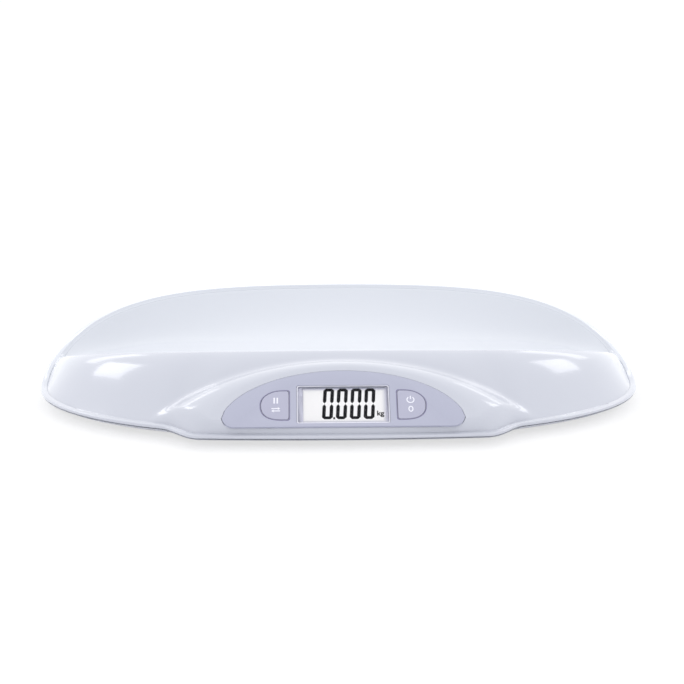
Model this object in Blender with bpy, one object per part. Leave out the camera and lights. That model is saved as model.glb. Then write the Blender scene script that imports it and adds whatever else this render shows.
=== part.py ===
# Digital baby weighing scale, free standing. Metres, +Z up, the console faces -Y, origin at the
# middle of the footprint on the surface that the scale stands on.

import math

import bmesh
import bpy
import numpy as np
from mathutils import Vector
from mathutils.bvhtree import BVHTree

# Fits
GAP = 0.0003
RUNNING_GAP = 0.0004
OVERRUN = 0.004

# Body in plan: one oval outline with a flatter nose in front of the console
BODY_LENGTH = 0.550
BODY_DEPTH = 0.310
OUTLINE_POWER = 2.2
NOSE_BESIDE = 0.008
NOSE_SHOULDER = 0.032
NOSE_REACH = 0.005
NOSE_SAG = 0.004
NOSE_DROP = 0.0015

# Lip: low along the front, rising round the ends to the rear rim
LIP_HEIGHT = 0.013
RIM_HEIGHT = 0.069
LIP_WIDTH = 0.006
LIP_THICKNESS = 0.004
LIP_ROUND = 0.0012
RIM_FILLET = 0.003
RISE_START_SHARE = -0.13
RISE_END_SHARE = 1.0

# Crest: front edge of the tray, high in the middle, sweeping back and down into the lip
CREST_HEIGHT = 0.063
CREST_SETBACK = 0.083
CREST_POWER = 2.2
JOIN_SHARE = 0.26
CREST_ROUND = 0.0008

# Tray
TRAY_FLOOR = 0.030
TRAY_END_DROP = 0.005
TRAY_FLAT_SHARE = 0.62
SPINE_SHARE = 0.6
FRONT_WALL_RUN = 0.046
REAR_WALL_RUN = 0.080
END_WALL_RUN = 0.024
SHELL_WALL = 0.0034

# Console: an inclined plane with a domed edge, blended into the apron
PANEL_SLOPE = math.radians(38)
CONSOLE_FOOT_SETBACK = 0.0045
CONSOLE_FOOT_HEIGHT = 0.0185
CONSOLE_BESIDE = 0.0105
CONSOLE_RUN = 0.050
CONSOLE_THICK_SHARES = (0.9, 1.2)
CONSOLE_BLEND = 0.006
DOME_FALL = 0.020
DOME_CURVE = 0.060
CONSOLE_WALL = 0.009
APRON_EVEN_SHARE = 0.35

# Display panel and what lies under it, along the panel's normal
PANEL_BESIDE = 0.0355
PANEL_TALL = 0.0588
PANEL_START = 0.0012
PANEL_CORNER = 0.011
PANEL_CORNER_SWEEP = 80
PANEL_THICK = 0.0020
PANEL_SKIN = 0.0028
WINDOW_WIDE = 0.0788
WINDOW_TALL = 0.0385
WINDOW_START = 0.0049
WINDOW_CORNER = 0.0015
WINDOW_LEDGE = 0.0022
LENS_THICK = 0.0015
GLASS_MARGIN = 0.0026
GLASS_THICK = 0.0028
ZEBRA_WIDE = 0.0022
ZEBRA_TALL = 0.0034
BACKLIGHT_THICK = 0.0024
BOARD_THICK = 0.0016
BOARD_BESIDE = 0.0188
BOARD_START = 0.0085
BOARD_TALL = 0.0375
CHIP_RADIUS = 0.0075
CHIP_THICK = 0.0018
CHIP_CROWN_SHARES = ((0.5, 0.9), (0.85, 0.5))
BOARD_SCREW_INSET = 0.0045
BOARD_BOSS_RADIUS = 0.0029
BOARD_SHANK = 0.0010
BOARD_HEAD = 0.0022
BOARD_HEAD_THICK = 0.0011

# Buttons and their switches
BUTTON_AWAY = 0.0070
BUTTON_WIDE = 0.0236
BUTTON_TALL = 0.0292
BUTTON_START = 0.0085
BUTTON_CORNER = 0.0022
BUTTON_LEAN_SHARE = 0.16
BUTTON_ROUND_POWER = 0.62
BUTTON_TALL_POWER = 0.85
BUTTON_PROUD = 0.0003
BUTTON_CAP = 0.0016
BUTTON_TRAVEL = 0.0005
STEM_RADIUS = 0.0030
STEM_FLANGE = 0.0045
FLANGE_THICK = 0.0008
SWITCH_SIZE = 0.0062
SWITCH_TALL = 0.0024
PLUNGER_RADIUS = 0.0017
PLUNGER_SEAT = 0.0012

# Bottom cover
STANDOFF = 0.005
COVER_FLOOR = 0.003
COVER_EDGE_OUTER = 0.0012
COVER_EDGE_INNER = 0.0044
COVER_FILLET = 0.003
COVER_CHAMFER_SHARE = 0.3
COVER_TUCK = 0.0006
FLOOR_INSET = 0.012
FLOOR_FLARE_SHARE = 0.55
COVER_BELLY_SHARE = 0.62
COVER_BELLY_INSET_SHARE = 0.5

# Cover screws and their posts
SCREW_PLACE_SHARES = ((0.455, -0.68), (0.83, 0.065), (0.51, 0.50), (0.18, 0.61))
SCREW_SHANK = 0.0013
SCREW_HEAD = 0.0030
SCREW_HEAD_THICK = 0.0020
SCREW_CROWN_SHARE = 0.75
SCREW_LENGTH = 0.014
BOSS_RADIUS = 0.0050
BOSS_TOP = 0.010
POST_RADIUS = 0.0040
PILOT_EXTRA = 0.002

# Feet and load cells
FRONT_FOOT_X_SHARE = 0.673
FRONT_FOOT_Y_SHARE = -0.48
REAR_FOOT_X_SHARE = 0.618
REAR_FOOT_Y_SHARE = 0.32
PAD_RADIUS = 0.0125
PAD_THICK = 0.0024
FOOT_BEVEL = 0.0006
CARRIER_RADIUS = 0.0135
CARRIER_THICK = 0.0038
CARRIER_NECK = 0.0060
CELL_WIDE = 0.036
CELL_DEEP = 0.030
CELL_THICK = 0.0020
CELL_SLOT = 0.0020
CELL_RIM = 0.0055
RIB_WIDTH = 0.0025
RIB_HEIGHT = 0.0012

# Battery bay, door and contacts
CELL_LENGTH = 0.0445
BATTERY_RADIUS = 0.0052
BATTERY_NUB_RADIUS = 0.0019
BATTERY_NUB = 0.0009
BATTERY_BEVEL = 0.00065
BATTERY_COUNT = 4
BAY_CENTRE_SHARE = 0.22
BAY_END_ROOM = 0.0034
BAY_WALL = 0.0055
BAY_ROOF = 0.0018
DOOR_THICK = 0.0020
DOOR_LEDGE = 0.0030
HINGE_RADIUS = 0.0020
HINGE_RISE = 0.0022
HINGE_SWEEP = 270
RIDGE_COUNT = 3
RIDGE_PITCH = 0.0040
RIDGE_INSET = 0.0045
RIDGE_WIDE = 0.0010
RIDGE_RISE = 0.0005
RIDGE_HALF_LENGTH = 0.0085
TRUNNION_RADIUS = 0.0010
TRUNNION_LENGTH = 0.0020
CONTACT_THICK = 0.0005
CONTACT_TALL = 0.0085
CONTACT_WIDE = 0.0085
CONTACT_BOW = 0.0016
CONTACT_BOW_SHARE = 0.7

# How finely the large surfaces are divided
BACK_STATIONS = 12
FRONT_STATIONS = 28
STATION_CROWDING_SHARE = 0.05
CURVE_POINTS = 2401
ROUND_FINE = 16
ROUND_MEDIUM = 12
ROUND_SMALL = 8
ROUND_ANGLE = 40
SHELL_ANGLE = 35
APRON_SHARES = (0.012, 0.09, 0.20, 0.33, 0.47, 0.62, 0.77, 0.91)
APRON_INNER_SHARES = (0.91, 0.70, 0.47, 0.26, 0.09)
TRAY_SHARES = (0.035, 0.10, 0.19, 0.32, 0.52, 0.93)
TRAY_INNER_SHARES = (0.93, 0.40, 0.21, 0.10)

HALF_LENGTH = BODY_LENGTH / 2
HALF_DEPTH = BODY_DEPTH / 2
OVAL_Y = NOSE_REACH / 2
FRONT_Y = OVAL_Y - HALF_DEPTH - NOSE_REACH
CONSOLE_FOOT_Y = FRONT_Y + CONSOLE_FOOT_SETBACK
FLOOR_TOP = STANDOFF + COVER_FLOOR
BUTTON_INNER = WINDOW_WIDE / 2 + BUTTON_AWAY
BUTTON_X = BUTTON_INNER + BUTTON_WIDE / 2
BUTTON_Y = BUTTON_START + BUTTON_TALL / 2
PANEL_HALF_WIDTH = BUTTON_INNER + BUTTON_WIDE + PANEL_BESIDE
CONSOLE_HALF_WIDTH = PANEL_HALF_WIDTH + CONSOLE_BESIDE
NOSE_HALF_WIDTH = CONSOLE_HALF_WIDTH + NOSE_BESIDE
BOARD_HALF_WIDTH = BUTTON_X + BOARD_BESIDE


def clear_scene():
    for item in list(bpy.data.objects):
        bpy.data.objects.remove(item, do_unlink=True)


def make_material(name, colour, roughness, metallic=0.0):
    material = bpy.data.materials.new(name)
    material.use_nodes = True
    shader = material.node_tree.nodes["Principled BSDF"]
    shader.inputs["Base Color"].default_value = (*colour, 1.0)
    shader.inputs["Roughness"].default_value = roughness
    shader.inputs["Metallic"].default_value = metallic
    return material


# Solids are built as plain vertex and face lists, then made into objects.

def prism(outline, low, high):
    count = len(outline)
    verts = [(x, y, low) for x, y in outline] + [(x, y, high) for x, y in outline]
    faces = [tuple(reversed(range(count))), tuple(range(count, 2 * count))]
    for i in range(count):
        j = (i + 1) % count
        faces.append((i, j, count + j, count + i))
    return verts, faces


def lathe(profile, segments, centre=(0, 0)):
    # The profile runs from the axis at the bottom, outwards and up, back to the axis.
    verts = []
    rings = []
    for radius, height in profile:
        if radius == 0:
            rings.append([len(verts)] * segments)
            verts.append((centre[0], centre[1], height))
            continue
        rings.append(list(range(len(verts), len(verts) + segments)))
        for i in range(segments):
            angle = 2 * math.pi * i / segments
            verts.append((centre[0] + radius * math.cos(angle), centre[1] + radius * math.sin(angle), height))
    faces = []
    for lower, upper in zip(rings, rings[1:]):
        for i in range(segments):
            j = (i + 1) % segments
            corners = []
            for index in (lower[i], lower[j], upper[j], upper[i]):
                if index not in corners:
                    corners.append(index)
            faces.append(tuple(corners))
    return verts, faces


def disc(radius, low, high, centre, segments):
    return lathe([(0, low), (radius, low), (radius, high), (0, high)], segments, centre)


def block(x_range, y_range, z_range):
    outline = [(x_range[0], y_range[0]), (x_range[1], y_range[0]), (x_range[1], y_range[1]),
               (x_range[0], y_range[1])]
    return prism(outline, *z_range)


def merge(solids):
    verts = []
    faces = []
    for solid_verts, solid_faces in solids:
        start = len(verts)
        verts += list(solid_verts)
        faces += [tuple(start + i for i in face) for face in solid_faces]
    return verts, faces


def swap_axes(solid, order):
    verts, faces = solid
    moved = [tuple(vert[i] for i in order) for vert in verts]
    return moved, faces


def make_object(name, solid, material=None, parent=None, location=(0, 0, 0), smooth_angle=None):
    mesh = bpy.data.meshes.new(name)
    mesh.from_pydata([tuple(vert) for vert in solid[0]], [], [tuple(face) for face in solid[1]])
    work = bmesh.new()
    work.from_mesh(mesh)
    bmesh.ops.recalc_face_normals(work, faces=work.faces)
    work.to_mesh(mesh)
    work.free()
    if material is not None:
        mesh.materials.append(material)
    if smooth_angle is not None:
        mesh.shade_smooth()
        mesh.set_sharp_from_angle(angle=math.radians(smooth_angle))
    item = bpy.data.objects.new(name, mesh)
    item.location = location
    item.parent = parent
    bpy.context.scene.collection.objects.link(item)
    return item


def make_tool(name, solid, parent=None, location=(0, 0, 0)):
    tool = make_object(name, solid, None, parent, location)
    tool.hide_render = True
    tool.display_type = "WIRE"
    return tool


def combine(target, tool, operation):
    # Triangles are flat, so the solver never meets a face that rounding has bent.
    target.modifiers.new("flat_faces", "TRIANGULATE")
    step = target.modifiers.new(tool.name, "BOOLEAN")
    step.operation = operation
    step.solver = "EXACT"
    step.object = tool


def make_empty(name, location, rotation=(0, 0, 0)):
    empty = bpy.data.objects.new(name, None)
    empty.location = location
    empty.rotation_euler = rotation
    bpy.context.scene.collection.objects.link(empty)
    return empty


# Outlines in a plane

def rounded_box(x_range, y_range, radius, steps=4):
    points = []
    corners = ((x_range[1], y_range[0], -90), (x_range[1], y_range[1], 0),
               (x_range[0], y_range[1], 90), (x_range[0], y_range[0], 180))
    for corner_x, corner_y, start in corners:
        middle_x = corner_x - math.copysign(radius, corner_x - sum(x_range) / 2)
        middle_y = corner_y - math.copysign(radius, corner_y - sum(y_range) / 2)
        for i in range(steps + 1):
            angle = math.radians(start + 90 * i / steps)
            points.append((middle_x + radius * math.cos(angle), middle_y + radius * math.sin(angle)))
    return points


def half_moon(grow=0.0, steps=24, corner_steps=4):
    # Half an ellipse on a straight lower edge whose two corners are rounded.
    wide = PANEL_HALF_WIDTH + grow
    high = PANEL_TALL + grow
    corner = PANEL_CORNER
    centre_y = PANEL_START - grow + corner
    centre_x = wide * math.sqrt(1 - (centre_y / high) ** 2) - corner
    right = []
    for i in range(corner_steps + 1):
        angle = math.radians(-90 + PANEL_CORNER_SWEEP * i / corner_steps)
        right.append((centre_x + corner * math.cos(angle), centre_y + corner * math.sin(angle)))
    first = math.asin((centre_y + corner / 2) / high)
    arc = []
    for i in range(steps + 1):
        angle = first + (math.pi - 2 * first) * i / steps
        arc.append((wide * math.cos(angle), high * math.sin(angle)))
    left = [(-x, y) for x, y in reversed(right)]
    return right + arc + left


def button_outline(side, grow=0.0, steps=14):
    # A D with its straight side towards the display; the round side leans in at the top.
    half_tall = BUTTON_TALL / 2 + grow
    flat = -BUTTON_WIDE / 2 - grow
    reach = BUTTON_WIDE + 2 * grow - BUTTON_CORNER
    points = []
    for i in range(4):
        angle = math.radians(180 + 90 * i / 3)
        points.append((flat + BUTTON_CORNER + BUTTON_CORNER * math.cos(angle),
                       -half_tall + BUTTON_CORNER + BUTTON_CORNER * math.sin(angle)))
    for i in range(1, steps):
        angle = math.radians(-90 + 180 * i / steps)
        lean = 1 - BUTTON_LEAN_SHARE * max(math.sin(angle), 0) ** 2
        tall = math.copysign(abs(math.sin(angle)) ** BUTTON_TALL_POWER, math.sin(angle))
        points.append((flat + BUTTON_CORNER + reach * math.cos(angle) ** BUTTON_ROUND_POWER * lean,
                       half_tall * tall))
    for i in range(4):
        angle = math.radians(90 + 90 * i / 3)
        points.append((flat + BUTTON_CORNER + BUTTON_CORNER * math.cos(angle),
                       half_tall - BUTTON_CORNER + BUTTON_CORNER * math.sin(angle)))
    if side < 0:
        points = [(-x, y) for x, y in reversed(points)]
    return points


# Surface of the top shell, worked out on stations that run from the middle of the back round the
# right end to the middle of the front, and mirrored.

def smooth(value):
    value = np.clip(value, 0, 1)
    return value * value * (3 - 2 * value)


def rim_height(y):
    share = ((y - OVAL_Y) / HALF_DEPTH - RISE_START_SHARE) / (RISE_END_SHARE - RISE_START_SHARE)
    return LIP_HEIGHT + (RIM_HEIGHT - LIP_HEIGHT) * smooth(share)


def resample(points, shares):
    steps = np.hypot(*np.diff(points[:, :2], axis=0).T)
    along = np.concatenate([[0], np.cumsum(steps)])
    along = along / along[-1]
    return np.column_stack([np.interp(shares, along, points[:, i]) for i in range(points.shape[1])])


def power_curve(cosine, power):
    return np.sign(cosine) * np.abs(cosine) ** (2 / power)


def nose_weight(x, y):
    return np.where(y < 0, 1 - smooth((np.abs(x) - NOSE_HALF_WIDTH) / NOSE_SHOULDER), 0.0)


def half_outline():
    angle = np.linspace(math.pi / 2, -math.pi / 2, CURVE_POINTS)
    x = HALF_LENGTH * power_curve(np.cos(angle), OUTLINE_POWER)
    y = OVAL_Y + HALF_DEPTH * power_curve(np.sin(angle), OUTLINE_POWER)
    weight = nose_weight(x, y)
    nose_y = FRONT_Y + NOSE_SAG * (x / NOSE_HALF_WIDTH) ** 2
    y = y + (nose_y - y) * weight
    tangent = np.gradient(np.column_stack([x, y]), axis=0)
    tangent /= np.hypot(tangent[:, 0], tangent[:, 1])[:, None]
    lip = rim_height(y) - NOSE_DROP * weight
    return np.column_stack([x, y, tangent[:, 1], -tangent[:, 0], lip])


class BodyForm:
    """Stations of the outline, of the tray opening and of the tray's middle line."""

    def __init__(self, back_stations, front_stations):
        curve = half_outline()
        join_y = OVAL_Y + JOIN_SHARE * HALF_DEPTH
        split = int(np.argmin(np.abs(curve[:, 1] - join_y)))
        back_shares = np.linspace(0, 1, back_stations + 1)[:-1]
        front_shares = np.linspace(0, 1, front_stations + 1)
        crowding = np.sin(math.pi * front_shares) ** 2 * np.sin(math.pi * front_shares / 2)
        front_shares = front_shares + STATION_CROWDING_SHARE * crowding
        back = resample(curve[:split + 1], back_shares)
        front = resample(curve[split:], front_shares)
        stations = np.vstack([back, front])
        stations[0, 0] = 0
        stations[-1, 0] = 0
        normals = stations[:, 2:4] / np.hypot(stations[:, 2], stations[:, 3])[:, None]
        normals[0] = (0, -1)
        normals[-1] = (0, 1)
        self.outline = stations[:, :2]
        self.normals = normals
        self.lip = stations[:, 4]
        inset = LIP_WIDTH + RIM_FILLET
        opening = self.outline + normals * inset
        height = self.lip - RIM_FILLET / 2
        join = len(back)
        crest_y = OVAL_Y - HALF_DEPTH + CREST_SETBACK
        join_x, join_y = opening[join]
        angle = np.linspace(0, math.pi / 2, CURVE_POINTS)
        crest = np.column_stack([join_x * power_curve(np.cos(angle), CREST_POWER),
                                 join_y - (join_y - crest_y) * power_curve(np.sin(angle), CREST_POWER)])
        opening[join:] = resample(crest, front_shares)
        opening[-1, 0] = 0
        fall = (join_y - opening[join:, 1]) / (join_y - crest_y)
        height[join:] = height[join] + (CREST_HEIGHT - height[join]) * fall
        self.opening = opening
        self.opening_height = height
        spine_y = (opening[0, 1] + opening[-1, 1]) / 2
        self.spine = np.column_stack([SPINE_SHARE * opening[:, 0], np.full(len(opening), spine_y)])

    def at_lip(self, inset, rise):
        place = self.outline + self.normals * inset
        return np.column_stack([place, self.lip + rise])

    def on_apron(self, share, drop=0.0):
        start = self.at_lip(LIP_WIDTH, LIP_ROUND)
        place = start[:, :2] + (self.opening - start[:, :2]) * share
        bend = (1 - APRON_EVEN_SHARE) * smooth(share) + APRON_EVEN_SHARE * share
        base = start[:, 2] + (self.opening_height - start[:, 2]) * bend
        height, inside = add_console(place[:, 0], place[:, 1], base)
        wall = drop * (1 - inside) + (drop > 0) * CONSOLE_WALL * inside
        return np.column_stack([place, height - wall])

    def in_tray(self, share, drop=0.0):
        toward = self.spine - self.opening
        reach = np.hypot(toward[:, 0], toward[:, 1])
        facing = toward / reach[:, None]
        run = (FRONT_WALL_RUN * np.maximum(facing[:, 1], 0) ** 2
               + REAR_WALL_RUN * np.maximum(-facing[:, 1], 0) ** 2 + END_WALL_RUN * facing[:, 0] ** 2)
        place = self.opening + toward * share
        left = np.clip(1 - share * reach / run, 0, 1)
        far = (np.abs(place[:, 0]) / HALF_LENGTH - TRAY_FLAT_SHARE) / (1 - TRAY_FLAT_SHARE)
        floor = TRAY_FLOOR - TRAY_END_DROP * smooth(far)
        height = floor + (self.opening_height - floor) * left ** 2
        return np.column_stack([place, height - drop])

    def crest_edge(self, drop=0.0):
        return np.column_stack([self.opening, self.opening_height - CREST_ROUND - drop])

    def at_floor(self, inset, height):
        flare = FLOOR_INSET + FLOOR_FLARE_SHARE * (self.lip - LIP_HEIGHT) + inset
        place = self.outline + self.normals * flare[:, None]
        return np.column_stack([place, np.full(len(place), height)])


def add_console(x, y, base):
    rise = CONSOLE_FOOT_HEIGHT + (y - CONSOLE_FOOT_Y) * math.tan(PANEL_SLOPE)
    away = np.hypot(x / CONSOLE_HALF_WIDTH, (y - CONSOLE_FOOT_Y) / CONSOLE_RUN)
    over = np.maximum(away - 1, 0)
    dome = rise - DOME_FALL * over - DOME_CURVE * over ** 2
    near = np.maximum(CONSOLE_BLEND - np.abs(dome - base), 0)
    height = np.maximum(dome, base) + near ** 2 / (4 * CONSOLE_BLEND)
    near_share, far_share = CONSOLE_THICK_SHARES
    inside = 1 - smooth((away - near_share) / (far_share - near_share))
    return height, inside


def close_loop(half):
    mirrored = half[-2:0:-1].copy()
    mirrored[:, 0] *= -1
    return np.vstack([half, mirrored])


def loft(halves):
    # Rings from the first cap to the last cap; both end rings are closed by one flat face.
    rings = [close_loop(half) for half in halves]
    count = len(rings[0])
    verts = [tuple(point) for ring in rings for point in ring]
    faces = [tuple(range(count))]
    for k in range(len(rings) - 1):
        for i in range(count):
            j = (i + 1) % count
            faces.append((k * count + i, (k + 1) * count + i, (k + 1) * count + j, k * count + j))
    faces.append(tuple(reversed(range((len(rings) - 1) * count, len(rings) * count))))
    return verts, faces


def shell_rings(form):
    under = -LIP_THICKNESS / 2 - LIP_ROUND / 2
    rings = [form.in_tray(share, SHELL_WALL) for share in TRAY_INNER_SHARES]
    rings.append(form.crest_edge(SHELL_WALL))
    rings += [form.on_apron(share, SHELL_WALL) for share in APRON_INNER_SHARES]
    rings.append(form.at_lip(LIP_WIDTH + LIP_ROUND / 2, under + LIP_ROUND / 2))
    rings.append(form.at_lip(LIP_WIDTH - LIP_ROUND, under))
    rings.append(form.at_lip(LIP_ROUND, under))
    rings.append(form.at_lip(0, under + LIP_ROUND))
    rings.append(form.at_lip(LIP_ROUND / 4, LIP_ROUND / 2))
    rings.append(form.at_lip(LIP_ROUND, LIP_ROUND))
    rings.append(form.at_lip(LIP_WIDTH, LIP_ROUND))
    rings += [form.on_apron(share) for share in APRON_SHARES]
    rings.append(form.crest_edge())
    rings += [form.in_tray(share) for share in TRAY_SHARES]
    return rings


def cover_rings(form):
    under = -LIP_THICKNESS / 2 - LIP_ROUND / 2 - GAP

    def between(top, foot):
        ring = top + (foot - top) * COVER_BELLY_INSET_SHARE
        ring[:, 2] = top[:, 2] + (foot[:, 2] - top[:, 2]) * COVER_BELLY_SHARE
        return ring

    top_outer = form.at_lip(COVER_EDGE_OUTER, under)
    top_inner = form.at_lip(COVER_EDGE_INNER, under)
    foot_outer = form.at_floor(-COVER_FILLET, STANDOFF + COVER_FILLET)
    foot_inner = form.at_floor(COVER_FLOOR, FLOOR_TOP)
    chamfer = COVER_FILLET * COVER_CHAMFER_SHARE
    foot_outer[:, 2] = np.minimum(foot_outer[:, 2], top_outer[:, 2] - COVER_TUCK)
    return [form.at_floor(0, STANDOFF), form.at_floor(chamfer - COVER_FILLET, STANDOFF + chamfer), foot_outer,
            between(top_outer, foot_outer), top_outer, top_inner, between(top_inner, foot_inner), foot_inner]


def surface_height(solid, x, y):
    tree = BVHTree.FromPolygons([Vector(vert) for vert in solid[0]], solid[1])
    hit = tree.ray_cast(Vector((x, y, BODY_LENGTH)), Vector((0, 0, -1)))
    return hit[0].z


def mirrored_places():
    places = []
    for x_share, y_share in SCREW_PLACE_SHARES:
        for side in (-1, 1):
            places.append((side * x_share * HALF_LENGTH, OVAL_Y + y_share * HALF_DEPTH))
    return places


def foot_places():
    places = {}
    for end, x_share, y_share in (("front", FRONT_FOOT_X_SHARE, FRONT_FOOT_Y_SHARE),
                                  ("rear", REAR_FOOT_X_SHARE, REAR_FOOT_Y_SHARE)):
        for side, sign in (("left", -1), ("right", 1)):
            places[end + "_" + side] = (sign * x_share * HALF_LENGTH, OVAL_Y + y_share * HALF_DEPTH)
    return places


# Places along the panel's normal, measured inwards from the panel's face

SEAT = -PANEL_THICK - GAP
SEAT_BACK = SEAT - PANEL_SKIN
GLASS_TOP = SEAT_BACK - GAP
GLASS_BACK = GLASS_TOP - GLASS_THICK
BOARD_TOP = GLASS_BACK - ZEBRA_TALL - 2 * GAP
BOARD_BACK = BOARD_TOP - BOARD_THICK
BOARD_SCREW_TIP = SEAT_BACK - GLASS_THICK / 2 - GAP


def board_screw_places():
    low = BOARD_START + BOARD_SCREW_INSET
    high = BOARD_START + BOARD_TALL - BOARD_SCREW_INSET
    wide = BOARD_HALF_WIDTH - BOARD_SCREW_INSET
    beside = WINDOW_WIDE / 2 + GLASS_MARGIN + BOARD_BOSS_RADIUS + 2 * RUNNING_GAP
    return ((-wide, low), (wide, low), (-beside, high), (beside, high))


def make_top_shell(form, console, material):
    solid = loft(shell_rings(form))
    shell = make_object("top_shell", solid, material, smooth_angle=SHELL_ANGLE)

    # Posts for the cover screws and bosses for the board reach into the skin.
    posts = []
    pilots = []
    for x, y in mirrored_places():
        top = surface_height(solid, x, y) - SHELL_WALL / 2
        posts.append(disc(POST_RADIUS, BOSS_TOP + GAP, top, (x, y), ROUND_MEDIUM))
        pilot_top = STANDOFF + SCREW_HEAD_THICK + SCREW_LENGTH + PILOT_EXTRA
        pilot_top = min(pilot_top, top - SHELL_WALL / 2)
        pilots.append(disc(SCREW_SHANK + GAP, BOSS_TOP - OVERRUN, pilot_top, (x, y), ROUND_SMALL))
    combine(shell, make_tool("post_solids", merge(posts)), "UNION")
    combine(shell, make_tool("pilot_cutters", merge(pilots)), "DIFFERENCE")

    deep = BOARD_BACK - OVERRUN
    pocket = [prism(glass_outline(GAP), deep, SEAT_BACK)]
    for place in button_places().values():
        pocket.append(disc(STEM_FLANGE + RUNNING_GAP, deep, SEAT_BACK, place, ROUND_MEDIUM))
    combine(shell, make_tool("display_pocket_cutters", merge(pocket), console), "DIFFERENCE")

    bosses = []
    boss_holes = []
    for place in board_screw_places():
        boss_top = SEAT_BACK + PANEL_SKIN / 2
        bosses.append(disc(BOARD_BOSS_RADIUS, BOARD_TOP + GAP, boss_top, place, ROUND_MEDIUM))
        boss_holes.append(disc(BOARD_SHANK + GAP, deep, BOARD_SCREW_TIP + GAP, place, ROUND_SMALL))
    combine(shell, make_tool("board_boss_solids", merge(bosses), console), "UNION")
    combine(shell, make_tool("board_boss_cutters", merge(boss_holes), console), "DIFFERENCE")

    seat = prism(half_moon(GAP), SEAT, OVERRUN)
    combine(shell, make_tool("panel_seat_cutter", seat, console), "DIFFERENCE")
    low = SEAT_BACK - PANEL_SKIN / 2
    high = SEAT + PANEL_SKIN / 2
    through = [prism(window_outline(-WINDOW_LEDGE), low, high)]
    for place in button_places().values():
        through.append(disc(STEM_RADIUS + RUNNING_GAP, low, high, place, ROUND_MEDIUM))
    combine(shell, make_tool("panel_opening_cutters", merge(through), console), "DIFFERENCE")
    return shell


def button_places():
    return {"hold": (-BUTTON_X, BUTTON_Y), "zero": (BUTTON_X, BUTTON_Y)}


def window_outline(grow=0.0):
    half = WINDOW_WIDE / 2 + grow
    return rounded_box((-half, half), (WINDOW_START - grow, WINDOW_START + WINDOW_TALL + grow), WINDOW_CORNER)


def glass_outline(grow=0.0):
    half = WINDOW_WIDE / 2 + GLASS_MARGIN + grow
    low = WINDOW_START - GLASS_MARGIN / 2 - grow
    high = WINDOW_START + WINDOW_TALL + GLASS_MARGIN + grow
    return [(-half, low), (half, low), (half, high), (-half, high)]


def make_display(console, paint):
    panel = make_object("display_panel", prism(half_moon(), -PANEL_THICK, 0), paint["panel"], console)
    holes = [prism(window_outline(GAP), -PANEL_THICK - OVERRUN, OVERRUN)]
    for place_x, place_y in button_places().values():
        outline = button_outline(math.copysign(1, place_x), RUNNING_GAP)
        outline = [(x + place_x, y + place_y) for x, y in outline]
        holes.append(prism(outline, -PANEL_THICK - OVERRUN, OVERRUN))
    combine(panel, make_tool("panel_hole_cutters", merge(holes), console), "DIFFERENCE")

    lens = prism(window_outline(), -PANEL_THICK, -PANEL_THICK + LENS_THICK)
    make_object("display_lens", lens, paint["clear"], console)
    make_object("display_glass", prism(glass_outline(), GLASS_BACK, GLASS_TOP), paint["glass"], console)

    # The strips join the glass to the board along two edges, with the light plate between them.
    low = WINDOW_START - GLASS_MARGIN / 2
    high = WINDOW_START + WINDOW_TALL + GLASS_MARGIN
    strip_x = (ZEBRA_WIDE - WINDOW_WIDE / 2, WINDOW_WIDE / 2 - ZEBRA_WIDE)
    strip_low = max(low, BOARD_START) + GAP
    strip_high = min(high, BOARD_START + BOARD_TALL) - GAP
    top = GLASS_BACK - GAP
    for name, start in (("lower", strip_low), ("upper", strip_high - ZEBRA_WIDE)):
        strip = block(strip_x, (start, start + ZEBRA_WIDE), (BOARD_TOP + GAP, top))
        make_object("contact_strip_" + name, strip, paint["rubber"], console)
    light_y = (strip_low + 2 * ZEBRA_WIDE, strip_high - 2 * ZEBRA_WIDE)
    light = block(strip_x, light_y, (top - BACKLIGHT_THICK, top))
    make_object("backlight_plate", light, paint["backlight"], console)


def screw_solid(head, shank, head_low, head_top, tip):
    profile = [(0, head_low), (head * SCREW_CROWN_SHARE, head_low), (head, (head_low + head_top) / 2),
               (head, head_top), (shank, head_top), (shank, tip - 2 * shank), (0, tip)]
    return lathe(profile, ROUND_SMALL)


def make_board(console, paint):
    board_x = (-BOARD_HALF_WIDTH, BOARD_HALF_WIDTH)
    board_y = (BOARD_START, BOARD_START + BOARD_TALL)
    outline = rounded_box(board_x, board_y, BOARD_SCREW_INSET / 2, 3)
    board = make_object("circuit_board", prism(outline, BOARD_BACK, BOARD_TOP), paint["board"], console)
    holes = [disc(BOARD_SHANK + GAP, BOARD_BACK - OVERRUN, BOARD_TOP + OVERRUN, place, ROUND_SMALL)
             for place in board_screw_places()]
    combine(board, make_tool("board_hole_cutters", merge(holes), console), "DIFFERENCE")
    head_top = BOARD_BACK - GAP
    head_low = head_top - BOARD_HEAD_THICK
    screw = screw_solid(BOARD_HEAD, BOARD_SHANK, head_low, head_top, BOARD_SCREW_TIP)
    for number, place in enumerate(board_screw_places(), 1):
        make_object("board_screw_%d" % number, screw, paint["steel"], console, (*place, 0), ROUND_ANGLE)

    # The controller is a drop of resin over its chip.
    chip = [(0, head_top - CHIP_THICK)]
    for radius_share, height_share in CHIP_CROWN_SHARES:
        chip.append((CHIP_RADIUS * radius_share, head_top - CHIP_THICK * height_share))
    chip += [(CHIP_RADIUS, head_top), (0, head_top)]
    make_object("controller_chip", lathe(chip, ROUND_MEDIUM), paint["black"], console,
                (0, BOARD_START + BOARD_TALL / 2, 0), ROUND_ANGLE)


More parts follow.
